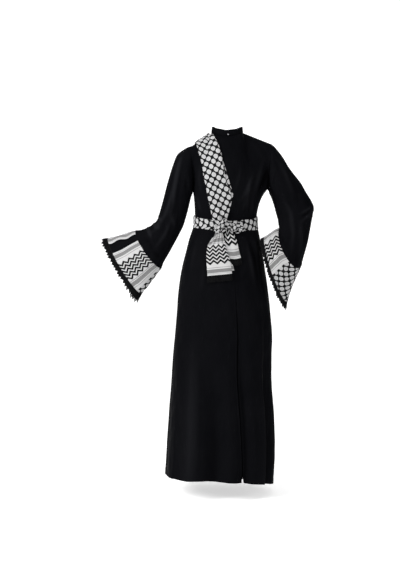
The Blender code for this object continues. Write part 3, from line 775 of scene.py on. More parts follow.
# %% Skirt folds
FOLDS = (  # angle at the top, angle at the hem, half width, height at the hem, where it starts
    (42, 58, 12, 0.013, -0.60),
    (74, 83, 13, -0.016, -0.66),
    (92, 98, 10, 0.008, -0.70),
    (104, 114, 6, -0.018, -0.52),
    (124, 127, 11, 0.006, -0.60),
    (135, 138, 8, 0.010, -0.55),
    (148, 151, 8, -0.016, -0.52),
    (168, 167, 10, 0.006, -0.60),
    (203, 201, 13, 0.012, -0.62),
    (222, 221, 11, -0.012, -0.66),
    (242, 243, 13, 0.012, -0.60),
    (263, 264, 12, -0.010, -0.70),
    (283, 285, 13, 0.014, -0.58),
    (304, 306, 12, -0.013, -0.62),
    (326, 328, 12, 0.010, -0.66),
    (12, 10, 12, -0.008, -0.70),
)
FINE_FOLDS = (  # the same
    (52, 61, 3.4, 0.0040, -0.52),
    (28, 34, 3.2, 0.0022, -0.70),
    (70, 74, 3.0, 0.0018, -0.85),
    (80, 86, 3.0, -0.0030, -0.75),
    (93, 98, 2.6, 0.0030, -0.60),
    (121, 124, 3.2, 0.0022, -0.70),
    (136, 139, 2.4, 0.0045, -0.50),
    (144, 149, 2.6, -0.0055, -0.48),
    (158, 160, 3.0, 0.0025, -0.70),
    (214, 212, 3.0, 0.0025, -0.70),
    (236, 238, 3.0, -0.0025, -0.66),
    (254, 255, 3.2, 0.0025, -0.70),
    (276, 277, 3.0, -0.0025, -0.66),
    (296, 298, 3.2, 0.0030, -0.62),
    (318, 320, 3.0, -0.0025, -0.70),
    (342, 344, 3.2, 0.0025, -0.62),
)


def fold_height(angle, z):
    """How far the skirt folds push the cloth out."""
    height = np.zeros(np.broadcast(angle, z).shape)
    for top, hem, half_width, size, z_top in FOLDS + FINE_FOLDS:
        grown = ease((z - z_top) / (HEM_BACK - z_top))
        apart = (angle - top - (hem - top) * grown + 180) % 360 - 180
        height = height + size * grown * bell(apart, half_width)
    return height


print("skirt folds:", len(FOLDS), "wide and", len(FINE_FOLDS), "narrow")

# %% [markdown]
# ## From the table to a point
#
# A level section of a person is a little squarer than an ellipse. One power of the sine and cosine
# gives that shape, and the folds move each point out from the middle.

# %% A point of the body
SQUARENESS = 0.9  # 1 makes an ellipse, and less makes it squarer


def body_point(angle, z):
    """A point of the body at height z. angle is in degrees: 0 left, 90 back, 180 right, 270 front."""
    left, right, behind, before = (through(BODY, k, z) for k in (1, 2, 3, 4))
    c, s = np.cos(np.radians(angle)), np.sin(np.radians(angle))
    x = (left + right) / 2 + (left - right) / 2 * np.sign(c) * np.abs(c) ** SQUARENESS
    y = np.where(s >= 0, behind, -before) * np.sign(s) * np.abs(s) ** SQUARENESS
    out = fold_height(angle, z)
    return np.stack(np.broadcast_arrays(x + out * c, y + out * s, z), axis=-1)


print("left end of the waist:", body_point(0, WAIST).round(3))

# %% [markdown]
# ## The pleat at the middle of the back
#
# One sharp pleat runs from the hips to the hem, a little right of the middle. A pleat that narrow needs
# columns of its own, so the back panel's columns crowd together there and drift with it down the skirt.
# The pleat itself is a narrow valley with a raised lip on each side, the left one higher, where the
# cloth folds over.

# %% Where the pleat runs, and how deep it is
PLEAT_COLUMN = 108.0
PLEAT_TOP = -0.56
PLEAT = ((-0.50, 103.0), (-0.60, 103.0), (-1.00, 105.6), (-1.25, 109.5), (-1.43, 113.0))
NEAR_PLEAT = (-2.6, -2.0, -1.5, -1.1, -0.75, -0.45, -0.2, 0.0, 0.2, 0.45, 0.8, 1.2, 1.7, 2.4)


def back_angles(columns, z):
    """The angle of each column at each height: even, except that those near the pleat follow it."""
    drift = (through(PLEAT, 1, z) - PLEAT_COLUMN) * ease((-0.40 - z) / 0.15)
    return columns + drift * bell(columns - PLEAT_COLUMN, 14)


def pleat_height(columns, z):
    """How far the pleat pushes the cloth out, or in where it's below 0."""
    grown = ease((z - PLEAT_TOP) / (HEM_BACK - PLEAT_TOP)) ** 0.6
    apart = columns - PLEAT_COLUMN
    valley = -0.0105 * np.exp(-np.abs(apart - 0.1) / 0.55)
    lip = 0.0045 * bell(apart + 1.1, 0.8) + 0.0020 * bell(apart - 1.9, 1.0)
    return (valley + lip) * grown


plain_columns = np.linspace(0, 180, 125)
plain_columns = plain_columns[np.abs(plain_columns - PLEAT_COLUMN) > 3.2]
BACK_COLUMNS = np.sort(np.concatenate([plain_columns, PLEAT_COLUMN + np.array(NEAR_PLEAT)]))
FRONT_COLUMNS = np.linspace(0, 180, 111)
print("columns:", len(BACK_COLUMNS), "behind,", len(FRONT_COLUMNS), "in front")

# %% [markdown]
# ## The shoulders
#
# The top of each panel is one line: a shoulder seam, the neckline and the other shoulder seam. The
# right shoulder seam is the longer one, because the neck sits a little left of the middle of the chest.
# The neckline hangs lower in front than behind.

# %% The shoulder seams and the neckline
SEAM_LAP = 0.0008  # how far the edges of two pieces pass each other at a seam
NECK_HALF_WIDTH = 0.066
SHOULDERS = (0.147, -0.054), (-0.183, -0.046)
NECKLINES = {1: (0.052, 0.016), -1: (0.062, 0.030)}  # depth and drop, behind and in front
NECK_SHARES = {1: (5 / 22, 15 / 22), -1: (4 / 18, 13 / 18)}  # where it starts and ends on the panel


def top_line(side, shares):
    """The shoulder seams and the neckline. side is 1 for the back and -1 for the front."""
    first, last = NECK_SHARES[side]
    depth, drop = NECKLINES[side]
    (left_x, left_z), (right_x, right_z) = SHOULDERS
    out_left = 1 - np.clip(shares / first, 0, 1)
    out_right = np.clip((shares - last) / (1 - last), 0, 1)
    turn = np.pi * np.clip((shares - first) / (last - first), 0, 1)
    x = NECK_HALF_WIDTH * np.cos(turn) + (left_x - NECK_HALF_WIDTH) * out_left
    x = x + (right_x + NECK_HALF_WIDTH) * out_right
    y = side * (depth * np.sin(turn) - SEAM_LAP / 2)
    z = left_z * out_left + right_z * out_right - drop * np.sin(turn) ** 2
    return np.stack([x, y, z], axis=-1)


print("middle of the neckline behind:", top_line(1, np.array([10 / 22]))[0].round(3))

# %% [markdown]
# ## From the shoulders to the hem
#
# Above the arms each column of a panel is one smooth curve, which leaves the seam towards the back or
# front and comes down almost upright at the chest. The outermost columns are the edges of the armholes.
# Below the arms the columns follow the body's sections down to the hem.

# %% The grid of a panel
ARM_ROWS, SKIRT_ROWS = 44, 196


def panel_grid(side, columns):
    """The plain surface of a panel, without pressed folds. Its columns run from 0 (left) to 180 (right)."""
    heights = np.linspace(UNDERARM, HEM_BACK, SKIRT_ROWS)[:, None]
    angles = back_angles(columns, heights) if side > 0 else 360 - columns + 0 * heights
    share = ease((heights - HIP) / (HEM_BACK - HIP))
    z = heights - through(HEM, 1, angles) * share
    if side > 0:
        z = z + 0.018 * bell(columns - PLEAT_COLUMN - 1.0, 0.9) * share**24
    lower = body_point(angles, z)
    lower[:, 0, 1] = lower[:, -1, 1] = -side * SEAM_LAP / 2
    top, chest = top_line(side, columns / 180), lower[0]
    edge = (np.abs(columns / 90 - 1) ** 4)[:, None]
    slope = ((chest[:, 0] - top[:, 0]) / (chest[:, 2] - top[:, 2]))[:, None]
    drop, rise = -0.022 + 0.014 * edge, 0.085 - 0.010 * edge
    leave = top + np.concatenate([slope * drop, side * (0.052 + 0.012 * edge), drop], axis=1)
    arrive = chest + np.concatenate([slope * rise, side * (0.006 + 0.056 * edge), rise], axis=1)
    t = np.linspace(0, 1, ARM_ROWS + 1)[:-1, None, None]
    upper = top * (1 - t) ** 3 + 3 * leave * t * (1 - t) ** 2 + 3 * arrive * t * t * (1 - t) + chest * t**3
    return np.concatenate([upper, lower])


print("rows of a panel:", ARM_ROWS, "above the underarm and", SKIRT_ROWS, "below it")

# %% [markdown]
# ## Folds and ruffle
#
# A pressed fold is a line on the cloth with a height and a width. It is strongest at its middle and
# dies away at its ends. Ruffle is a sum of a few slow waves from a seeded random draw, about a
# millimetre high, because no worn cloth is quite smooth.

# %% Pressed folds and ruffle
random = np.random.default_rng(7)


def press_folds(grid, normals, side, folds):
    """How far each point is pressed out. A fold is its points (x, z), its height and its half width.

    side is 1 for folds on the back, -1 on the front and 0 all round.
    """
    moved = np.zeros(grid.shape[:2])
    facing = np.clip(normals[..., 1] * side * 3, 0, 1) if side else 1.0
    for line, height, half_width in folds:
        line = np.array(line, float)
        nearest = np.full(grid.shape[:2], np.inf)
        how_far = np.zeros(grid.shape[:2])
        for k in range(len(line) - 1):
            a, ab = line[k], line[k + 1] - line[k]
            t = np.clip(((grid[..., ::2] - a) @ ab) / (ab @ ab), 0, 1)
            distance = np.linalg.norm(grid[..., ::2] - a - t[..., None] * ab, axis=-1)
            how_far = np.where(distance < nearest, (k + t) / (len(line) - 1), how_far)
            nearest = np.minimum(distance, nearest)
        moved += height * bell(nearest, half_width) * facing * (0.35 + 0.65 * np.sin(np.pi * how_far))
    return moved


def ruffle(uv, height, across, along, waves=14):
    """A sum of seeded waves over the cloth, from about half to one and two thirds of the wavelengths."""
    total = np.zeros(uv.shape[:2])
    for _ in range(waves):
        turns = random.uniform(0.6, 1.8, 2) / (across, along) * random.choice([-1, 1], 2)
        total += np.sin(2 * np.pi * (uv @ turns + random.uniform()))
    return height * total / math.sqrt(waves)


print("the folds and the ruffle start from seed 7")

# %% [markdown]
# ## Where the folds run
#
# Drag lines start at the shoulders, creases lie at the waist where the belt pulls the cloth in, and
# soft folds leave the hips. Each is listed with the places it passes through. The front has its own
# list.

# %% The folds of the back and the front
BACK_PRESSED = (  # its points, its height and its half width
    (((-0.054, -0.140), (-0.043, -0.195), (-0.030, -0.246)), 0.0022, 0.010),
    (((-0.107, -0.172), (-0.080, -0.235), (-0.050, -0.291)), 0.0030, 0.011),
    (((-0.175, -0.134), (-0.147, -0.204), (-0.122, -0.262)), -0.0040, 0.012),
    (((-0.150, -0.110), (-0.128, -0.190), (-0.108, -0.265)), 0.0030, 0.011),
    (((-0.091, -0.189), (-0.083, -0.260), (-0.079, -0.328)), 0.0026, 0.008),
    (((-0.071, -0.278), (-0.063, -0.328)), 0.0022, 0.007),
    (((-0.105, -0.270), (-0.098, -0.340)), 0.0024, 0.008),
    (((-0.026, -0.270), (-0.014, -0.336)), 0.0020, 0.007),
    (((0.126, -0.258), (0.117, -0.300), (0.109, -0.328)), 0.0028, 0.008),
    (((0.112, -0.120), (0.116, -0.190), (0.108, -0.262)), 0.0022, 0.010),
    (((-0.078, -0.441), (-0.095, -0.531), (-0.112, -0.626)), 0.0032, 0.011),
    (((-0.099, -0.425), (-0.128, -0.507), (-0.145, -0.606)), 0.0034, 0.010),
    (((-0.088, -0.430), (-0.112, -0.520), (-0.128, -0.620)), -0.0030, 0.009),
    (((-0.122, -0.426), (-0.146, -0.484), (-0.163, -0.559)), 0.0032, 0.010),
    (((0.093, -0.482), (0.100, -0.580), (0.113, -0.686)), 0.0017, 0.014),
    (((0.120, -0.420), (0.140, -0.500), (0.158, -0.610)), 0.0019, 0.012),
    (((-0.030, -0.420), (-0.040, -0.520), (-0.050, -0.640)), -0.0022, 0.012),
    (((0.128, -0.800), (0.134, -1.020), (0.137, -1.240), (0.138, -1.460)), 0.0022, 0.030),
)
FRONT_PRESSED = (  # the same
    (((0.120, -0.150), (0.080, -0.230), (0.050, -0.320)), 0.0030, 0.012),
    (((-0.140, -0.150), (-0.090, -0.230), (-0.055, -0.320)), 0.0030, 0.012),
    (((0.020, -0.270), (0.026, -0.335)), 0.0022, 0.008),
    (((-0.030, -0.265), (-0.028, -0.335)), 0.0022, 0.008),
    (((0.090, -0.425), (0.120, -0.530), (0.135, -0.650)), 0.0032, 0.012),
    (((-0.080, -0.425), (-0.105, -0.530), (-0.120, -0.650)), 0.0032, 0.012),
    (((0.010, -0.430), (0.016, -0.540), (0.020, -0.660)), -0.0026, 0.014),
)

print("pressed folds:", len(BACK_PRESSED), "behind,", len(FRONT_PRESSED), "in front")

# %% [markdown]
# ## The back and front panels
#
# A panel is its grid, pushed out along its own normals by the pressed folds, the ruffle and a narrow
# ridge beside each seam. The edges stay calm, so that the panels meet at the side seams. Their edges
# pass each other by a fraction of a millimetre, which keeps light from showing through the seams.

# %% Making the two panels
CLOTH = 0.0010  # how thick the crepe is
SKIRT_SHADE = 0.14  # the share of the skirt folds that the crepe paints as highlight and shade
PANEL_RUFFLE = 0.0007, 0.07, 0.16  # its height, and its wavelengths across and along
SEAM_RIDGE, HEM_RIDGE = 0.0010, 0.0007


def panel(name, side, columns, pressed, node):
    """A panel of the body. Returns the piece and the grid of its outer face."""
    grid = panel_grid(side, columns)
    facing = np.zeros_like(grid)
    facing[..., 1] = side
    normals = normals_of(grid, facing)
    uv = measure(grid)
    uv[..., 1] = uv[-1:, :, 1] - uv[..., 1]
    edge = np.minimum(columns, 180 - columns)
    row = np.arange(len(grid))[:, None]
    calm = ease(edge / 7.0) * ease(row / 6)
    folds = press_folds(grid, normals, side, pressed)
    waves = ruffle(uv, *PANEL_RUFFLE)
    heights = np.linspace(UNDERARM, HEM_BACK, SKIRT_ROWS)[:, None]
    if side > 0:
        folds[ARM_ROWS:] += pleat_height(columns, heights)
    moved = folds + waves
    # the fold note, painted by the crepe as highlight and shade: the calm pressed folds and a share of the
    # skirt folds
    folds = folds * calm
    angles = back_angles(columns, heights) if side > 0 else 360 - columns
    folds[ARM_ROWS:] += SKIRT_SHADE * fold_height(angles, heights)
    seam = SEAM_RIDGE * bell(edge - 2.2, 1.4) + HEM_RIDGE * (uv[..., 1] < HEM_TURN)
    outer = grid + normals * (moved * calm + seam * ease(row / 6))[..., None]
    inner = outer - CLOTH * normals
    piece = mesh_piece(name, [shell(outer, inner, uv)], crepe, "black_crepe", node)
    note_folds(piece, folds)
    return piece, outer


back_panel, back = panel("back_panel", 1, BACK_COLUMNS, BACK_PRESSED, "back")
front_panel, front = panel("front_panel", -1, FRONT_COLUMNS, FRONT_PRESSED, "front")
cut_sheet(back_panel, back)
cut_sheet(front_panel, front)

# %% [markdown]
# ## Sleeves
#
# A bell sleeve is a tube that widens to the hand. It is read from a table of slanting sections, from
# the armhole to the edge of the lace. The two arms are bent differently, so each sleeve has its own
# table.

# %% The sleeves' sections
LEFT_SLEEVE = (  # outer x and z, under x and z, middle y, half depth, lean
    (0.180, -0.068, 0.145, -0.249, 0.000, 0.062, 0.000),
    (0.209, -0.091, 0.151, -0.266, 0.000, 0.060, 0.000),
    (0.226, -0.132, 0.156, -0.286, 0.000, 0.058, 0.000),
    (0.241, -0.178, 0.164, -0.320, -0.002, 0.055, 0.000),
    (0.255, -0.228, 0.174, -0.357, -0.004, 0.052, 0.000),
    (0.268, -0.278, 0.187, -0.393, -0.006, 0.051, 0.000),
    (0.281, -0.324, 0.206, -0.431, -0.008, 0.051, 0.000),
    (0.295, -0.364, 0.227, -0.470, -0.011, 0.051, 0.004),
    (0.327, -0.390, 0.248, -0.508, -0.016, 0.051, 0.008),
    (0.360, -0.403, 0.267, -0.540, -0.022, 0.051, 0.013),
    (0.383, -0.407, 0.278, -0.563, -0.028, 0.051, 0.018),
    (0.419, -0.416, 0.307, -0.603, -0.036, 0.051, 0.020),
    (0.457, -0.429, 0.334, -0.641, -0.044, 0.051, 0.020),
    (0.501, -0.439, 0.360, -0.674, -0.054, 0.049, 0.018),
    (0.532, -0.443, 0.376, -0.706, -0.062, 0.048, 0.016),
)
RIGHT_SLEEVE = (  # the same
    (-0.208, -0.070, -0.173, -0.240, 0.000, 0.062, 0.000),
    (-0.231, -0.099, -0.177, -0.249, 0.000, 0.060, 0.000),
    (-0.254, -0.137, -0.181, -0.260, 0.000, 0.058, 0.000),
    (-0.279, -0.172, -0.186, -0.274, 0.000, 0.057, 0.000),
    (-0.304, -0.205, -0.193, -0.294, 0.000, 0.056, 0.000),
    (-0.329, -0.245, -0.200, -0.318, 0.000, 0.056, 0.000),
    (-0.351, -0.280, -0.207, -0.339, 0.000, 0.056, 0.000),
    (-0.362, -0.309, -0.211, -0.354, 0.002, 0.056, 0.005),
    (-0.356, -0.349, -0.214, -0.366, 0.005, 0.056, 0.012),
    (-0.347, -0.399, -0.216, -0.376, 0.009, 0.056, 0.020),
    (-0.337, -0.452, -0.217, -0.385, 0.014, 0.056, 0.030),
    (-0.323, -0.502, -0.217, -0.392, 0.020, 0.056, 0.040),
    (-0.309, -0.550, -0.215, -0.398, 0.027, 0.055, 0.048),
    (-0.292, -0.588, -0.196, -0.406, 0.037, 0.053, 0.044),
    (-0.271, -0.634, -0.176, -0.417, 0.047, 0.050, 0.038),
    (-0.250, -0.695, -0.153, -0.433, 0.058, 0.046, 0.032),
    (-0.244, -0.729, -0.134, -0.441, 0.064, 0.044, 0.028),
)
print("sections:", len(LEFT_SLEEVE), "on the left,", len(RIGHT_SLEEVE), "on the right")

# %% [markdown]
# ## The folds of the sleeves
#
# The upper arm shows long ridges where the cloth hangs from the shoulder. Where the elbow bends, short
# creases go all round the sleeve. They are listed like those of the panels, so that each lies
# where it is wanted.

# %% The sleeves' folds
LEFT_PRESSED = (
    (((0.196, -0.114), (0.209, -0.216), (0.229, -0.340), (0.263, -0.427), (0.313, -0.494)), 0.0040, 0.010),
    (((0.179, -0.072), (0.200, -0.134), (0.229, -0.258), (0.258, -0.340), (0.292, -0.394), (0.329, -0.427)),
     0.0036, 0.010),
    (((0.192, -0.175), (0.221, -0.328), (0.267, -0.411)), -0.0034, 0.010),
    (((0.293, -0.370), (0.280, -0.403)), 0.0030, 0.007),
    (((0.330, -0.395), (0.314, -0.445)), 0.0030, 0.008),
    (((0.236, -0.330), (0.216, -0.392)), 0.0026, 0.010),
    (((0.345, -0.420), (0.300, -0.500), (0.272, -0.520)), -0.0022, 0.010),
)
LEFT_CREASES = (  # short ones that go all round the bent elbow
    (((0.286, -0.345), (0.272, -0.366)), 0.0034, 0.0055),
    (((0.310, -0.374), (0.294, -0.398)), 0.0046, 0.0055),
    (((0.334, -0.390), (0.322, -0.420)), 0.0044, 0.0060),
)
RIGHT_CREASES = (
    (((-0.362, -0.318), (-0.340, -0.324)), 0.0024, 0.0055),
    (((-0.356, -0.346), (-0.336, -0.350)), 0.0022, 0.0055),
)
RIGHT_PRESSED = (
    (((-0.200, -0.090), (-0.240, -0.170), (-0.270, -0.250)), 0.0030, 0.012),
    (((-0.267, -0.163), (-0.300, -0.205), (-0.321, -0.237)), 0.0034, 0.010),
    (((-0.355, -0.303), (-0.330, -0.320), (-0.302, -0.336)), 0.0036, 0.008),
    (((-0.355, -0.316), (-0.330, -0.345), (-0.306, -0.369)), 0.0032, 0.008),
    (((-0.352, -0.310), (-0.330, -0.332), (-0.304, -0.352)), -0.0032, 0.006),
    (((-0.230, -0.270), (-0.262, -0.330), (-0.272, -0.420), (-0.262, -0.500)), 0.0032, 0.012),
    (((-0.300, -0.360), (-0.306, -0.440), (-0.296, -0.540)), 0.0030, 0.012),
    (((-0.330, -0.380), (-0.322, -0.460), (-0.306, -0.540)), -0.0020, 0.010),
)
print("sleeve folds:", len(LEFT_PRESSED), "on the left,", len(RIGHT_PRESSED), "on the right")

# %% [markdown]
# ## From sections to a sleeve
#
# The sleeve's first section is the armhole, read from the edges of both panels, so the sleeve joins the
# body all round. The other sections come from the table, and smooth rings are read between them.

# %% The grid of a sleeve
FINE_RINGS = 9  # rings of the fine sleeve for each section in the table


def sleeve_grid(table, hole):
    """The sleeve's rings from the armhole to the edge of the lace, and which way is out of it."""
    table = np.array(table)
    turn = np.linspace(0, 2 * math.pi, len(hole), endpoint=False)
    outer, under = table[:, None, [0, 4, 1]], table[:, None, [2, 4, 3]]
    ahead = unit(np.gradient((outer + under)[:, 0], axis=0))[:, None]
    rings = under + (outer - under) * ((1 + np.cos(turn)) / 2)[:, None]
    rings[..., 1] += table[:, 5:6] * np.sin(turn)
    rings = rings + ahead * (table[:, 6:7] * np.sin(turn))[..., None]
    into_body = unit(hole.mean(axis=0) - rings[0].mean(axis=0)) * SEAM_LAP
    sections = np.concatenate([hole[None] + into_body, rings])
    last = len(sections) - 1
    grid = smooth_rows(sections, np.linspace(0, last, last * FINE_RINGS + 1))
    return grid, normals_of(grid, grid - grid.mean(axis=1, keepdims=True), True)


print("rings of each sleeve:", len(LEFT_SLEEVE) * FINE_RINGS + 1, "and", len(RIGHT_SLEEVE) * FINE_RINGS + 1)

# %% [markdown]
# ## Making the sleeves
#
# A sleeve is its grid pushed out by its folds, its ruffle and the rise of the sleeve head beside the
# armhole. Its grid goes on to the edge of the lace, but the cloth ends one section earlier: the crochet
# is laid on that last stretch.

# %% Making the sleeves
SLEEVE_RUFFLE = 0.0011, 0.07, 0.14  # its height, and its wavelengths across and along
SLEEVE_HEAD = 0.0018  # how far the sleeve rises beside the armhole
FRONT_SHARE = 0.7  # how high a sleeve's fold is in front, as a share of its height behind


def sleeve(name, table, hole, pressed, creases, node):
    """A sleeve. Returns the piece, the grid of its outer face down to the lace's edge, and its normals."""
    grid, normals = sleeve_grid(table, hole)
    row = np.arange(len(grid))[:, None]
    uv = measure(grid, True)
    waves = ruffle(uv, *SLEEVE_RUFFLE)
    waves[:, -1] = waves[:, 0]
    blend_in = ease(np.arange(waves.shape[1]) / 8) * ease(np.arange(waves.shape[1])[::-1] / 8)
    folds = press_folds(grid, normals, 1, pressed)
    folds = folds + press_folds(grid, normals, -1, pressed) * FRONT_SHARE
    folds += press_folds(grid, normals, 0, creases)
    moved = folds + (waves * blend_in)[:, :-1]
    seam = SLEEVE_HEAD * bell(row - 4, 3.0)
    outer = grid + normals * (moved * ease(row / 8) + seam * ease(row / 3))[..., None]
    normals = normals_of(outer, outer - outer.mean(axis=1, keepdims=True), True)
    body = outer[:-FINE_RINGS]
    uv = measure(body, True)
    uv[..., 1] = uv[-1:, :, 1] - uv[..., 1] + HEM_TURN * 2
    cloth = shell(body, body - CLOTH * normals[: len(body)], uv, True)
    piece = mesh_piece(name, [cloth], crepe, "black_crepe", node)
    # the folds are noted for the crepe, which paints a highlight on their crests and shade in their valleys
    note_folds(piece, (folds * ease(row / 8))[:-FINE_RINGS])
    return piece, outer, normals


def armhole(column):
    """The armhole from the shoulder down the back, under the arm and up the front."""
    down, up = back[: ARM_ROWS + 1, column], front[: ARM_ROWS + 1, column][::-1]
    ring = np.concatenate([down, up[1:-1]])
    ring[0, 1] = ring[ARM_ROWS, 1] = 0.0
    return ring


left_sleeve, left_grid, left_out = sleeve(
    "left_sleeve", LEFT_SLEEVE, armhole(0), LEFT_PRESSED, LEFT_CREASES, "sleeve_left")
right_sleeve, right_grid, right_out = sleeve(
    "right_sleeve", RIGHT_SLEEVE, armhole(-1), RIGHT_PRESSED, RIGHT_CREASES, "sleeve_right")

# %% [markdown]
# ## Between the points of a sleeve
#
# The cuffs and the crochet lie on the sleeve but have finer grids of their own. So they ask for the
# sleeve's surface at a fraction of a row and a column.

# %% Reading a grid between its points


def on_grid(grid, row, column):
    """A point of a closed grid at a fractional row and column."""
    rows, columns = grid.shape[:2]
    i = np.clip(np.floor(row).astype(int), 0, rows - 2)
    j = np.floor(column).astype(int)
    down, across = (row - i)[..., None], (column - j)[..., None]
    one, other = j % columns, (j + 1) % columns
    above = grid[i, one] * (1 - across) + grid[i, other] * across
    below = grid[i + 1, one] * (1 - across) + grid[i + 1, other] * across
    return above * (1 - down) + below * down


print("middle of the left sleeve's first ring:", left_grid[0].mean(axis=0).round(3))

# %% [markdown]
# ## Cuffs of scarf cloth
#
# Each cuff is scarf cotton, sewn on the lower part of the sleeve with its woven border running along
# the arm. It is laid on the sleeve's own grid, a little above it, and its weave is measured round the
# sleeve from the end where the border starts. A separate tube round the arm would have to be matched to
# every fold of the sleeve below it.

# %% A cuff from a sleeve's grid
SCARF_CLOTH = 0.0010  # how thick the scarf cotton is
CUFF_SECTIONS = 3  # how many sections of the sleeve the cuff covers
CUFF_LIFT = 0.0006


def cuff_shell(grid, normals, start, end, from_end, fan, steps):
    """Cloth laid on a sleeve from one angle to another, each given at the cuff's seam and at its edge.

    A length measured from its own end has a wavy edge there, where the cloth isn't pulled tight.
    """
    first, last = len(grid) - 1 - FINE_RINGS * (CUFF_SECTIONS + 1), len(grid) - 1 - FINE_RINGS
    row = np.linspace(first, last, (last - first) * 2 + 1)[:, None]
    share = (row - first) / (last - first)
    begins, ends = (a + (b - a) * share for a, b in (start, end))
    ends = ends + 3.5 * np.sin(11 * share + 4) * from_end
    turn = begins + (ends - begins) * np.linspace(0, 1, steps)
    column = turn / 360 * grid.shape[1]
    row = row + 0 * column
    surface, out = on_grid(grid, row, column), unit(on_grid(normals, row, column))
    uv = measure(surface)
    across, along = uv[..., 1], uv[..., 0]
    if from_end:
        along = along[:, -1:] - along
    uv = np.stack([across, along / (1 + fan * (share - 0.5))], axis=-1)
    edge = 0.0004 * bell(share * 12, 1.0) + 0.0004 * bell((1 - share) * 12, 1.0)
    under = surface + out * (CUFF_LIFT + edge)[..., None]
    return under + SCARF_CLOTH * out, under, uv


def cuff(name, grid, normals, pieces, node):
    """A cuff of one or two shells. Returns the piece and the shells, for measuring its cut."""
    shells = [cuff_shell(grid, normals, *which) for which in pieces]
    return mesh_piece(name, [shell(*s) for s in shells], scarf, "scarf_cotton", node), shells


print("a cuff lies", 1000 * CUFF_LIFT, "mm above its sleeve")

# %% [markdown]
# ## The two cuffs
#
# A cuff doesn't quite meet itself, so a strip of the black sleeve shows between its two ends. The left
# cuff has a second, narrow length, whose weave is measured from its own end and so shows the border's
# first stripes again. The left one fans out with the sleeve, and its figures with it.

# %% Making the cuffs
LEFT_CUFF = (  # start, end, whether it's measured from its end, how much it fans out, and its steps
    ((54, 58), (348, 352), False, 0.17, 100),
    ((348, 352), (392, 390), True, 0.0, 24),
)
RIGHT_CUFF = (
    ((184, 182), (-156, -158), False, 0.0, 104),
)
left_cuff, left_cuff_shells = cuff("left_cuff", left_grid, left_out, LEFT_CUFF, "cuff_left")
right_cuff, right_cuff_shells = cuff("right_cuff", right_grid, right_out, RIGHT_CUFF, "cuff_right")


def cut_cuff(piece, shells):
    """The cuff's cut is its whole length round the sleeve by its depth along the sleeve."""
    across = max(s[2][..., 0].max() for s in shells)
    around = sum(measure(s[0])[..., 0].max() for s in shells)
    area = sum(area_of(s[0]) for s in shells)
    min(area, across * around)
    print(f"{piece.name}: cut {across:.3f} x {around:.3f} m, {area:.4f} square metres")


cut_cuff(left_cuff, left_cuff_shells)
cut_cuff(right_cuff, right_cuff_shells)

# %% [markdown]
# ## Crochet edging
#
# The lace is crocheted cord. It starts as a dense header, worked back and forth in two rows, and ends
# in scallops: four arches one inside the other, a loop called a picot at the tip, and a little flower
# in the header above. It is deeper near the sleeve's lowest corner, where its weight pulls it down. All
# of it is real cord, laid on the last stretch of the sleeve's surface, because its edge and its holes
# are what the eye sees.

# %% Laying cord on the sleeve's edge
CORD = 0.00085  # the radius of a thin cord
LACE_DEPTH = 0.032
HEADER = 0.62  # the share of the edging that is the dense header
HEADER_CORDS = 0.03, 0.45, 1.0  # where plain cords run along the header
HEADER_ROWS = (0.05, 0.43), (0.47, 0.98)  # the header's two zigzag rows
ARCHES = (1.0, 1.5), (0.74, 1.5), (0.48, 1.4), (0.22, 1.4)  # size, and thickness in cords
PETALS = 5
FLOWER, LOOP_SIZE = 0.0030, 0.0022  # the radius of a flower, and of its petals and the picots
ZIG_STEP = 0.0052
LACE_SIDE = -0.045  # where the lace is deepest, as a share of the way round from the lowest corner


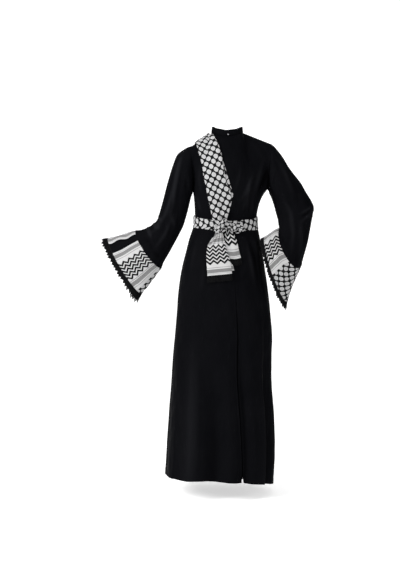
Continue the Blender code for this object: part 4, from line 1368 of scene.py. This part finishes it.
def edging(name, grid, normals, scallops, droop, node):
    """Crochet round the end of a sleeve. droop is how much deeper it is near the lowest corner."""
    first = len(grid) - 1 - FINE_RINGS
    rim = np.concatenate([grid[-1], grid[-1][:1]])
    length = np.concatenate([[0], np.cumsum(np.linalg.norm(np.diff(rim, axis=0), axis=1))])
    around = length[-1]
    lowest = np.interp(rim[:, 2].argmin(), np.arange(len(length)), length) / around
    parts = []

    def lay(share, down, lift):
        """A place round the edge (0 to 1) and across the edging (0 to 1), lifted off it."""
        share, down = np.broadcast_arrays(np.asarray(share, float), np.asarray(down, float))
        column = np.interp(share % 1.0 * around, length, np.arange(len(length)))
        row = first + 0.3 + down * (FINE_RINGS - 0.3)
        surface, out = on_grid(grid, row, column), unit(on_grid(normals, row, column))
        return surface + out * np.reshape(lift, np.shape(lift) + (1,)) - out * 0.0004, out

    def extra(share):
        away = np.abs((share - lowest - LACE_SIDE + 0.5) % 1.0 - 0.5)
        return droop * bell(away, 0.055)

    def header(share):
        return HEADER + 0.55 * extra(share)

    def run(share, down, lift, thickness, closed=False):
        path, out = lay(share, down, lift)
        parts.append(cord(path, CORD * thickness, out, 5, closed))

    share = np.linspace(0, 1, 180, endpoint=False)
    down = -0.07 + np.linspace(0, 1, 8)[:, None] * (header(share) + 0.07)
    outer, out = lay(share + 0 * down, down, 0.0006)
    parts.append(shell(outer, outer - 0.0011 * out, measure(outer, True), True))
    for at in HEADER_CORDS:
        run(share, at * header(share), 0.0008, 1.15, True)
    zig = np.linspace(0, 1, 2 * int(around / ZIG_STEP), endpoint=False)
    for low, high in HEADER_ROWS:
        run(zig, np.where(np.arange(len(zig)) % 2, low, high) * header(zig), 0.0010, 0.9, True)
    wide = 1 / scallops
    half_turn = np.linspace(0, np.pi, 15)
    high = np.sin(half_turn) ** 1.3
    loop = np.linspace(0, 2 * np.pi, 10, endpoint=False)
    for k in range(scallops):
        middle = (k + 0.5 + random.uniform(-0.12, 0.12)) * wide
        reach = 1.0 + 0.16 * random.uniform(-1, 0.2) + float(extra(middle))
        lean = random.uniform(-0.25, 0.25) * wide
        top = float(header(middle))
        for size, thickness in ARCHES:
            place = middle - 0.46 * wide * size * np.cos(half_turn) + lean * high * size
            run(place, top - 0.02 + (reach - top - 0.04) * size * high, 0.0004, thickness)
        picot = reach - 0.06 + (LOOP_SIZE - LOOP_SIZE * np.cos(loop)) / LACE_DEPTH
        run(middle + lean + 0.0017 * np.sin(loop) / around, picot, 0.0002, 1.3, True)
        for petal in range(PETALS):
            spin = petal * 2 * np.pi / PETALS + 0.3
            along = FLOWER * np.cos(spin) + LOOP_SIZE * np.cos(loop)
            across = FLOWER * np.sin(spin) + LOOP_SIZE * np.sin(loop)
            run(middle + along / around, HEADER * 0.68 + across / LACE_DEPTH, 0.0014, 0.85, True)
    return mesh_piece(name, parts, cord_finish, "black_lace", node)


left_lace = edging("left_lace", left_grid, left_out, 44, 0.40, "lace_left")
right_lace = edging("right_lace", right_grid, right_out, 46, 0.20, "lace_right")
for piece, grid, lace in ((left_sleeve, left_grid, left_lace), (right_sleeve, right_grid, right_lace)):
    cut_sheet(piece, grid[:-FINE_RINGS], True)

# %% [markdown]
# ## Collar
#
# The collar is a low band that stands on the neckline. It is built of rings that follow the neckline,
# each drawn in a little from the one below. A soft ridge near its top edge and another near its seam
# are what a turned and stitched band has.

# %% Making the collar
COLLAR_HEIGHT = 0.0262
COLLAR_WALL = 0.0014
COLLAR_LEAN = 0.003  # how far its top edge is drawn in


def neck_ring(turn, inward):
    """The neckline, drawn in by some distance."""
    behind = np.sin(turn) >= 0
    depth = np.where(behind, NECKLINES[1][0], NECKLINES[-1][0]) - inward
    drop = np.where(behind, NECKLINES[1][1], NECKLINES[-1][1])
    x, y = (NECK_HALF_WIDTH - inward) * np.cos(turn), depth * np.sin(turn)
    return np.stack([x, y, -drop * np.sin(turn) ** 2], axis=-1)


turn = np.linspace(0, 2 * np.pi, 160, endpoint=False)
rows = []
for share in np.linspace(0, 1, 12):
    swell = 0.0008 * math.sin(math.pi * share)
    swell += 0.0006 * bell(share - 0.16, 0.05) + 0.0005 * bell(share - 0.88, 0.06)
    ring = neck_ring(turn, COLLAR_LEAN * share - swell) + (0, 0, 0.0008 + COLLAR_HEIGHT * share)
    rows.append(ring + np.outer(0.0006 * np.sin(turn * 9 + 4 * share), (0, 0, share)))
outer = np.array(rows)[::-1]
out = normals_of(outer, outer * (1, 1, 0), True)
uv = measure(outer, True)
uv[..., 1] = np.minimum(uv[..., 1], uv[-1:, :, 1] - uv[..., 1]) + HEM_TURN - 0.003
band = shell(outer, outer - COLLAR_WALL * out, uv, True)
collar = mesh_piece("collar_band", [band], crepe, "black_crepe", "collar")
cut_sheet(collar, outer, True)

# %% [markdown]
# ## Button
#
# The collar closes at the back with one small domed metal button. A turned shape like this needs only
# its profile, which is swept round to make the rings of a tube.

# %% Making the button
BUTTON_SIDES = 40
BUTTON_PROFILE = (  # radius and height, as shares, from the top of the dome to the shank
    (0.0, 1.0), (0.25, 0.985), (0.5, 0.92), (0.72, 0.78), (0.86, 0.56), (0.93, 0.42), (0.985, 0.36),
    (1.0, 0.24), (0.985, 0.12), (0.9, 0.06), (0.35, 0.04), (0.30, 0.0), (0.0, 0.0),
)
low, high = (np.array(corner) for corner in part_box("neck_button"))
width, _, depth = (high - low)[[0, 2, 1]]
turn = np.linspace(0, 2 * math.pi, BUTTON_SIDES, endpoint=False)
rings = []
for share, height in BUTTON_PROFILE:
    radius = max(share, 0.002) * width / 2
    off_collar = np.full_like(turn, (height - 0.5) * depth)
    rings.append(np.stack([radius * np.cos(turn), off_collar, radius * np.sin(turn)], axis=1))
rings = np.array(rings) + (low + high) / 2
place = np.zeros((len(rings), BUTTON_SIDES + 1, 2))
mesh_piece("button", [tube(rings, place)], metal_finish, "silver_metal", "neck_button")
print("button:", (1000 * width).round(1), "mm wide")

# %% [markdown]
# ## Finding what lies under a piece
#
# The sash, belt, knot and tails lie on the dress, so each of their points asks where the dress is. A
# ray answers that: it starts outside, looks inwards and stops at the first cloth. Blender's BVHTree
# makes each answer quick.

# %% Rays


def surface_tree(*grids):
    """The surfaces that a ray can meet."""
    points, faces = [], []
    for grid in grids:
        rows, columns = grid.shape[:2]
        start = len(points)
        points.extend(grid.reshape(-1, 3).tolist())
        i, j = np.meshgrid(np.arange(rows - 1), np.arange(columns - 1), indexing="ij")
        a = (start + i * columns + j).ravel()
        faces += np.stack([a, a + 1, a + columns + 1, a + columns], 1).tolist()
    return BVHTree.FromPolygons(points, faces)


def hit(tree, target, out, far=1.0):
    """Where the cloth lies on the way in to the target, along a direction out of the dress."""
    out = Vector(out)
    found = tree.ray_cast(Vector(target) + out * far, -out)[0]
    return np.array(found if found is not None else Vector(target), float)


behind = hit(surface_tree(back), (0, 0, WAIST), (0, 1, 0))
print("the back at the waist is", behind[1].round(3), "m behind the middle")

# %% [markdown]
# ## Settling cloth
#
# A piece laid over another must not cut into it. Each of its points looks inwards a short way, and
# moves out where it comes too near. That is what a Shrinkwrap modifier does too, but here it moves only
# the points that need it.

# %% Settling cloth on what lies under it


def settle(grid, outward, tree, gap):
    """The grid, moved outward where it comes nearer than gap to the cloth under it."""
    grid = grid.copy()
    for i in range(grid.shape[0]):
        for j in range(grid.shape[1]):
            out = Vector(outward[i, j])
            found = tree.ray_cast(Vector(grid[i, j]) + out * 0.03, -out, 0.03 + gap)[0]
            if found is not None:
                short = gap - (grid[i, j] - np.array(found)) @ outward[i, j]
                grid[i, j] += outward[i, j] * max(short, 0)
    return grid


def tilted(degrees):
    """A direction out of the dress: 0 faces back, 90 up and 180 front."""
    return np.array([0, math.cos(math.radians(degrees)), math.sin(math.radians(degrees))])


print("over the shoulder, out is", tilted(90).round(3))

# %% [markdown]
# ## The shoulder sash
#
# The sash is a length of scarf cotton, folded double, that runs from the belt up the back, over the
# left shoulder and down the front. A table gives both of its edges at each place. Its gathers are
# pressed folds, deepest where the belt pulls it together, and its net leans with it.

# %% The sash's edges
SASH_BACK = (  # tilt, height, outer edge, edge by the neck
    (0, -0.404, 0.052, 0.010),
    (0, -0.372, 0.057, 0.006),
    (0, -0.346, 0.064, 0.000),
    (0, -0.311, 0.070, -0.011),
    (0, -0.281, 0.077, -0.018),
    (0, -0.252, 0.083, -0.022),
    (0, -0.221, 0.088, -0.012),
    (0, -0.189, 0.095, -0.003),
    (0, -0.160, 0.099, 0.006),
    (0, -0.135, 0.104, 0.014),
    (0, -0.115, 0.109, 0.020),
    (18, -0.115, 0.114, 0.027),
    (36, -0.115, 0.119, 0.036),
    (54, -0.115, 0.124, 0.048),
    (70, -0.115, 0.129, 0.059),
    (82, -0.115, 0.132, 0.071),
    (91, -0.115, 0.134, 0.074),
    (98, -0.115, 0.135, 0.074),
)
SASH_FRONT = (  # the same, from the top of the shoulder down the front
    (98, -0.115, 0.135, 0.074),
    (108, -0.115, 0.134, 0.073),
    (121, -0.115, 0.132, 0.067),
    (140, -0.115, 0.130, 0.056),
    (160, -0.115, 0.127, 0.048),
    (180, -0.115, 0.124, 0.042),
    (180, -0.140, 0.121, 0.038),
    (180, -0.175, 0.118, 0.033),
    (180, -0.210, 0.114, 0.028),
    (180, -0.245, 0.110, 0.024),
    (180, -0.280, 0.106, 0.022),
    (180, -0.315, 0.102, 0.021),
    (180, -0.350, 0.098, 0.022),
    (180, -0.375, 0.095, 0.024),
    (180, -0.400, 0.092, 0.026),
)
SASH_WALL = 0.0012  # how thick a folded layer is
NET_LEAN = 17.6  # degrees from upright, with the sash
FAR_INTO_NET = 0.300  # a measure along the cloth that is past all of its border
SASH_GATHERS = (  # its points, its height and its half width
    (((0.031, -0.258), (0.023, -0.336), (0.020, -0.400)), -0.0040, 0.0045),
    (((0.012, -0.262), (0.014, -0.336)), -0.0034, 0.0040),
    (((0.055, -0.300), (0.046, -0.345), (0.040, -0.400)), -0.0030, 0.0045),
    (((0.042, -0.270), (0.034, -0.345)), 0.0040, 0.0050),
    (((0.150, -0.062), (0.118, -0.052), (0.098, -0.020)), -0.0050, 0.0040),
    (((0.078, -0.160), (0.070, -0.230), (0.060, -0.290)), 0.0016, 0.0080),
    (((0.060, -0.120), (0.045, -0.190), (0.030, -0.250)), -0.0012, 0.0070),
)
print("sash:", len(SASH_BACK), "places behind and", len(SASH_FRONT), "in front")

# %% [markdown]
# ## Laying the sash on the dress
#
# The sash's surface comes from rays on to the dress, which turn with it over the shoulder. It is
# smoothed along its length, because folded cotton bridges the small folds of the crepe, and settled
# again where that brought it too near.

# %% A layer of the sash
dress = surface_tree(back, front)


def sash_grid(table, side, narrower, lift, columns):
    """A layer of the sash. narrower takes that much off its edge by the neck."""
    table = np.array(table, float)
    fine = smooth_rows(table, np.linspace(0, len(table) - 1, (len(table) - 1) * 6 + 1))
    share = np.linspace(0, 1, columns)
    grid, outward = [], []
    for tilt, z, outer_x, neck_x in fine:
        facing = tilted(tilt)
        # over the shoulder the layers come together
        trim = narrower * bell((z + 0.205) / 0.075 if tilt < 1 else 2, 1.0)
        xs = outer_x + (neck_x + trim - outer_x) * share
        grid.append([hit(dress, (x, side * 0.0002, z), facing) for x in xs])
        outward.append([facing] * columns)
    grid, outward = np.array(grid), np.array(outward)
    for _ in range(2):
        grid[1:-1] = (grid[:-2] + 2 * grid[1:-1] + grid[2:]) / 4
    out = unit(normals_of(grid, outward) + outward)
    return settle(grid + out * lift, out, dress, lift), out


def sash_layer(table, side, narrower, lift, columns, gathers, lean=NET_LEAN):
    """A layer's two faces and its weave, which leans by some degrees so that its net does too."""
    under, out = sash_grid(table, side, narrower, lift, columns)
    uv = measure(under)
    folds = press_folds(under, out, side, gathers)
    folds += 0.0007 * np.sin(uv[..., 0] * 2 * np.pi / 0.023 + uv[..., 1] * 6) + 0.0009
    share = np.linspace(0, 1, columns)
    rolled = -0.0009 * bell(share * columns / 3, 1.0) - 0.0009 * bell((1 - share) * columns / 3, 1.0)
    under = under + out * np.maximum(folds + rolled + 0.0012, 0)[..., None]
    over = under + SASH_WALL * out
    fall = np.zeros(uv.shape[:2])
    fall[1:] = np.cumsum(np.linalg.norm(np.diff(under[..., 1:], axis=0), axis=-1), axis=0)
    lean = math.radians(lean)
    aside, down = under[..., 0], fall * side
    across = -aside * math.cos(lean) + down * math.sin(lean)
    along = FAR_INTO_NET + 0.6 + aside * math.sin(lean) + down * math.cos(lean)
    return over, under, np.stack([across, along], axis=-1)


print("the dress under the sash has", len(back) + len(front), "rows")

# %% [markdown]
# ## The sash's two layers
#
# Behind, the two layers of the folded sash don't quite match, so a strip of the under layer shows along
# the edge by the neck. The layers come together again on the shoulder. In front they match, so one
# layer is enough.

# %% Making the sash
SASH_COLUMNS = 30
TOP_NARROWER = 0.013  # how far the edge of the under layer shows
TOP_LIFT, BELOW_LIFT, FRONT_LIFT = 0.0052, 0.0008, 0.0026
BELOW_LEAN = -6  # the under layer's net doesn't lean with the sash
COVERED = 16  # columns of the under layer that the top one hides

back_top = sash_layer(SASH_BACK, 1, TOP_NARROWER, TOP_LIFT, SASH_COLUMNS, SASH_GATHERS)
back_below = sash_layer(SASH_BACK, 1, 0.0, BELOW_LIFT, SASH_COLUMNS, (), BELOW_LEAN)
below = tuple(layer[:, COVERED:] for layer in back_below)
sash_back = mesh_piece("sash_behind", [shell(*back_top), shell(*below)], scarf, "scarf_cotton", "sash_back")
front_top = sash_layer(SASH_FRONT, -1, 0.0, FRONT_LIFT, SASH_COLUMNS, ())
sash_front = mesh_piece("sash_in_front", [shell(*front_top)], scarf, "scarf_cotton", "sash_front")
for piece, layers in ((sash_back, (back_top, below)), (sash_front, (front_top,))):
    across, along = measure(layers[0][0]).reshape(-1, 2).max(axis=0)
    across += sum(float(measure(layer[0])[..., 0].max()) for layer in layers[1:])
    area = min(sum(area_of(layer[0]) for layer in layers), across * along)
    print(f"{piece.name}: folded cut {across:.3f} x {along:.3f} m, {area:.4f} square metres")

# %% [markdown]
# ## The belt
#
# The belt is the same cotton, folded to a band. It starts as the waist's own section, pushed out, and
# is then settled over the panels and the sash. Two soft ridges run along it. Its weave is turned by 27
# degrees, which brings the net's thicker lines almost upright.

# %% Making the belt
BELT = (  # angle, height of its middle, and half of its width
    (0, -0.366, 0.024),
    (45, -0.376, 0.021),
    (90, -0.385, 0.020),
    (135, -0.381, 0.023),
    (180, -0.373, 0.026),
    (225, -0.371, 0.025),
    (270, -0.370, 0.024),
    (315, -0.368, 0.024),
    (360, -0.366, 0.024),
)
BELT_JOINT = 83  # the angle where the ends of the belt meet, under the knot
BELT_ROWS, BELT_COLUMNS = 19, 260
BELT_OUT = 0.0045  # how far the belt stands off the waist
BELT_GAP = 0.0007  # and at least off the cloth under it
BELT_BIAS = 27  # degrees that the weave is turned on the belt

angles = np.linspace(BELT_JOINT + 2, BELT_JOINT + 358, BELT_COLUMNS) % 360
middle, half = through(BELT, 1, angles), through(BELT, 2, angles)
around = np.stack([np.cos(np.radians(angles)), np.sin(np.radians(angles)), 0 * angles], axis=-1)
waistline = body_point(angles, np.full_like(angles, WAIST)) + around * BELT_OUT
share = np.linspace(1, -1, BELT_ROWS)[:, None]
grid = waistline * (1, 1, 0) + (middle + half * share)[..., None] * (0, 0, 1)
outward = np.broadcast_to(around, grid.shape)
under = settle(grid, outward, surface_tree(back, front, back_top[0], front_top[0]), BELT_GAP)
s = measure(under)[..., 0]
drift = 0.16 * np.sin(s * 14) + 0.08 * np.sin(s * 37 + 1)
ridge = 0.0012 * bell(share - 0.38 - drift, 0.26) + 0.0014 * bell(share + 0.42 - drift, 0.24)
ridge = ridge - 0.0006 * bell(share - drift, 0.09) + 0.0004 * np.sin(s * 90 + 7 * share)
rolled = 0.0010 * np.clip(1 - np.abs(share) ** 6, 0, 1)
under = under + outward * np.maximum(ridge + rolled, 0)[..., None]
out = normals_of(under, outward)
h = half * share + 0.011
turned = math.radians(BELT_BIAS)
belt_uv = np.stack([s * math.cos(turned) + h * math.sin(turned),
                    s * math.sin(turned) - h * math.cos(turned) + FAR_INTO_NET], axis=-1)
belt_over = under + SASH_WALL * out
belt = mesh_piece("belt_band", [shell(belt_over, under, belt_uv)], scarf, "scarf_cotton", "belt")

# %% [markdown]
# ## The knot and its loop
#
# Where the belt is tied, the cloth is bunched and wrapped round itself. A bunch is a lump with pleats:
# ridges with sharp valleys that run along it and close up at its ends. It is kept clear of whatever is
# behind it, by rays again. Tying a real strip would need a simulation, and its folds wouldn't be seen
# any better at this size.

# %% A bunch of cloth
belted = surface_tree(belt_over, back, back_top[0])


def bunch(centre, size, lean, pleats, depth, twist, fullness):
    """The rings and the weave of a pleated bunch of cloth.

    centre is (x, z), size is half its length, depth and height, and lean is in degrees.
    """
    length, thick, height = size
    c, s = math.cos(math.radians(lean)), math.sin(math.radians(lean))
    stands = hit(belted, (centre[0], 0, centre[1]), tilted(0))[1] + thick * 0.72
    t = np.linspace(-1, 1, 56)[:, None]
    turn = np.linspace(0, 2 * np.pi, 120, endpoint=False)
    end = np.clip(1 - np.abs(t) ** fullness, 0, 1) ** (1 / 2.2)
    phase = turn * pleats / 2 + twist * t + 0.5 * np.sin(3 * t + turn)
    crease = np.abs(np.cos(phase)) ** 0.55
    across = end * (1 - depth + depth * crease) + 0.010
    along = t * length * (1 + 0.05 * np.cos(phase))
    out, up = np.sin(turn) * thick * across, np.cos(turn) * height * across
    x, z = centre[0] - along * c + up * s, centre[1] + along * s + up * c
    grid = np.stack([x, stands + out, z], axis=-1)
    for point in grid.reshape(-1, 3):
        floor = hit(belted, (point[0], 0, point[2]), tilted(0))[1] + 0.0009
        point[1] = max(point[1], floor)
    across, along = np.linspace(0, 1, 121) * 8.0 * height, t * length * 1.3 + FAR_INTO_NET
    return grid, np.stack(np.broadcast_arrays(across, along), axis=-1)


print("a bunch has", bunch((0, WAIST), (0.02, 0.01, 0.02), 0, 5, 0.3, 1.0, 2.4)[0].shape[:2], "points")

# %% [markdown]
# ## Three bunches each
#
# The knot is three plump bunches that cross each other, as the belt's turns do. The loop beside it is
# three flatter ones with more and deeper pleats, scrunched by the pull of the knot.

# %% Making the knot and the loop
KNOT = (  # middle, size, lean, pleats, their depth, twist, and how full the ends are
    ((0.032, -0.399), (0.025, 0.015, 0.015), 8, 5, 0.34, 0.9, 2.4),
    ((0.005, -0.380), (0.022, 0.014, 0.018), -24, 5, 0.34, -1.2, 2.2),
    ((0.026, -0.383), (0.034, 0.019, 0.013), 56, 5, 0.30, 0.8, 2.8),
)
LOOP = (  # the same
    ((-0.040, -0.386), (0.028, 0.010, 0.018), -20, 9, 0.55, 2.2, 2.2),
    ((-0.050, -0.400), (0.022, 0.012, 0.013), 24, 7, 0.55, -1.8, 2.2),
    ((-0.026, -0.392), (0.016, 0.012, 0.014), 70, 6, 0.50, 1.2, 2.2),
)
knot_lumps = [tube(*bunch(*lump)) for lump in KNOT]
loop_lumps = [tube(*bunch(*lump)) for lump in LOOP]
knot = mesh_piece("knot_of_belt", knot_lumps, scarf, "scarf_cotton", "knot")
loop = mesh_piece("scrunched_loop", loop_lumps, scarf, "scarf_cotton", "bow_loop")
across, along = measure(belt_over).reshape(-1, 2).max(axis=0)
min(area_of(belt_over), across * along)
print(f"belt: folded cut {along:.3f} x {across:.3f} m")

# %% [markdown]
# ## The tied ends
#
# Two ends of the scarf hang from the knot. They start inside it and spread as they fall. A table gives
# both edges of each at a few heights, and how far it stands off the skirt. Beside the lower right of
# the long end a strip of its under layer shows.

# %% The edges of the tied ends
LONG_TAIL = (  # height, left edge, right edge, how far it stands off the skirt
    (-0.398, 0.040, 0.022, 0.0165),
    (-0.414, 0.050, 0.021, 0.0170),
    (-0.430, 0.062, 0.017, 0.0150),
    (-0.445, 0.073, 0.013, 0.0130),
    (-0.462, 0.082, 0.009, 0.0120),
    (-0.490, 0.087, 0.001, 0.0110),
    (-0.520, 0.087, -0.008, 0.0105),
    (-0.550, 0.085, -0.014, 0.0100),
    (-0.578, 0.083, -0.017, 0.0100),
)
SHORT_TAIL = (  # the same
    (-0.390, 0.004, -0.010, 0.0120),
    (-0.405, 0.008, -0.019, 0.0100),
    (-0.420, 0.012, -0.027, 0.0080),
    (-0.440, 0.012, -0.036, 0.0065),
    (-0.460, 0.010, -0.041, 0.0055),
    (-0.480, 0.006, -0.045, 0.0050),
    (-0.500, 0.000, -0.050, 0.0050),
    (-0.514, -0.004, -0.054, 0.0050),
)
UNDER_TAIL = (  # the layer that shows beside the lower right of the long end
    (-0.512, 0.010, -0.001, 0.0060),
    (-0.530, 0.006, -0.008, 0.0060),
    (-0.545, 0.002, -0.021, 0.0060),
    (-0.566, -0.002, -0.026, 0.0060),
)
print("drop of the long end:", round(LONG_TAIL[0][0] - LONG_TAIL[-1][0], 3), "m")

# %% [markdown]
# ## Making the ends
#
# Each end leaves the knot gathered, with deep pleats that die away towards its bottom edge. The weave
# is measured up from that edge, which brings the border's stripes and zigzags to the right places.

# %% Making the ends
TAIL_COLUMNS, TAIL_ROWS = 64, 80
GATHER_HEIGHT, SOFT_HEIGHT, TURNED_HEIGHT = 0.0046, 0.0010, 0.0030
skirt = surface_tree(back)


def tail_grid(table, slant, curve, columns, rows):
    """The hanging end's plain surface. slant lowers its left corner, curve the middle of its edge."""
    fine = smooth_rows(np.array(table, float), np.linspace(0, len(table) - 1, rows))
    down = (fine[0, 0] - fine[:, 0]) / (fine[0, 0] - fine[-1, 0])
    share = np.linspace(0, 1, columns)
    x = fine[:, 1:2] + (fine[:, 2:3] - fine[:, 1:2]) * share
    z = fine[:, 0:1] - down[:, None] * (slant * (1 - share) + curve * np.sin(np.pi * share))
    y = [[hit(skirt, (a, 0, b), tilted(0))[1] for a, b in zip(*row)] for row in zip(x, z)]
    y = np.array(y)
    for _ in range(4):
        y[1:-1] = (y[:-2] + 2 * y[1:-1] + y[2:]) / 4
        y[:, 1:-1] = (y[:, :-2] + 2 * y[:, 1:-1] + y[:, 2:]) / 4
    return np.stack([x, y + fine[:, 3:4], z], axis=-1), down[:, None], share


def tail(name, table, slant, curve, weave, pleats, fold, node, beneath=()):
    """A hanging end, and under it the layer that shows beneath, if there is one.

    weave is the width that its weave covers, and how much of it shows lengthwise. fold is the share of its
    width that is turned over at its left edge, and how far down.
    """
    grid, down, share = tail_grid(table, slant, curve, TAIL_COLUMNS, TAIL_ROWS)
    gathers = GATHER_HEIGHT * np.sin(share * 2 * np.pi * pleats + 1.0) * (1 - ease(down / 0.5))
    soft = SOFT_HEIGHT * np.sin(share * 2 * np.pi * 1.5 + 0.6) * ease(down / 0.4)
    turned = ease((fold[0] - share) / 0.05) * (1 - ease((down - fold[1]) / 0.12))
    lifted = np.maximum(gathers + soft + TURNED_HEIGHT * turned, -0.0034)
    out = np.array([0, 1.0, 0])
    under = grid + out * lifted[..., None]
    uv = measure(under)
    up = (uv[-1:, :, 1] - uv[..., 1]) * weave[1] + 0.010 * turned
    across = share * weave[0] + 0 * down
    over = under + SCARF_CLOTH * out
    parts = [shell(over, under, np.stack([across, up], axis=-1))]
    if beneath:
        layer = tail_grid(beneath, 0.0, 0.0, 12, 24)[0]
        weave_there = measure(layer)
        weave_there[..., 1] = weave_there[-1:, :, 1] - weave_there[..., 1] + 0.004
        parts.append(shell(layer + SCARF_CLOTH * out, layer, weave_there))
    piece = mesh_piece(name, parts, scarf, "scarf_cotton", node)
    size = (float(measure(over)[-1, :, 0].max()), float(uv[..., 1].max()))
    return piece, under, size, area_of(over)


long_end, long_grid, long_size, long_area = tail(
    "long_end", LONG_TAIL, 0.010, 0.0, (0.094, 1.0), 4, (0.22, 0.30), "tail_long", UNDER_TAIL)
short_end, short_grid, short_size, short_area = tail(
    "short_end", SHORT_TAIL, 0.002, 0.004, (0.050, 0.80), 2.5, (-1, 0), "tail_short")

# %% [markdown]
# ## The fringe
#
# The fringe is black cord at the lower edge of each end: small knots in a row, each with nine wavy
# strands. The strands keep clear of the skirt, and their lengths differ a little, as cut cord does.

# %% Making the fringe
FRINGE_DROP = 0.029
TASSEL_KNOT = 0.0058  # the length of a tassel's knot
STRANDS, STRAND_RADIUS = 9, 0.00085


def fringe(name, edge, tassels, inwards, node):
    """Knotted tassels along the lowest row of a hanging end. Their tips hang that much further inwards."""
    parts = []
    places = np.linspace(0.03, 0.97, tassels)
    length = np.linspace(0, 1, len(edge))
    for place in places:
        top = np.array([np.interp(place, length, edge[:, k]) for k in range(3)])
        top[2] -= 0.0004
        knot_path = top + np.outer(np.linspace(0, 1, 7), (0, 0.0004, -TASSEL_KNOT))
        bulge = 0.0011 + 0.0013 * np.sin(np.linspace(0.2, np.pi - 0.2, 7))
        parts.append(cord(knot_path, bulge, (0, 1, 0), 8))
        for _ in range(STRANDS):
            lean_x, lean_y = random.uniform(-0.0060, 0.0060), random.uniform(-0.0006, 0.0012)
            drop = FRINGE_DROP - 0.0052 - random.uniform(0, 0.0045)
            t = np.linspace(0, 1, 9)
            wave = 0.0014 * np.sin(t * random.uniform(7, 13) + random.uniform(0, 6))
            x = knot_path[-1, 0] + lean_x * t**0.6 + wave
            z = knot_path[-1, 2] + 0.0006 - drop * t
            floor = np.array([hit(skirt, (a, 0, b), tilted(0))[1] for a, b in zip(x, z)]) + 0.0015
            y = np.maximum(knot_path[-1, 1] + (lean_y - inwards) * t, floor)
            parts.append(cord(np.stack([x, y, z], axis=-1), STRAND_RADIUS * (1 - 0.25 * t), (0, 1, 0), 5))
    return mesh_piece(name, parts, cord_finish, "black_lace", node)


long_fringe = fringe("long_fringe", long_grid[-1], 15, 0.002, "tail_long_fringe")
short_fringe = fringe("short_fringe", short_grid[-1], 8, 0.001, "tail_short_fringe")
for piece, size, area, ends in (
    (long_end, long_size, long_area, long_fringe), (short_end, short_size, short_area, short_fringe)
):
    min(area, size[0] * size[1])
    print(f"{piece.name}: cut {size[0]:.3f} x {size[1]:.3f} m, {area:.4f} square metres")

# %% [markdown]
# ## The size of the finished dress
#
# The finished dress has to fill the same box as the measured one, give or take the few millimetres that
# cloth stands proud.
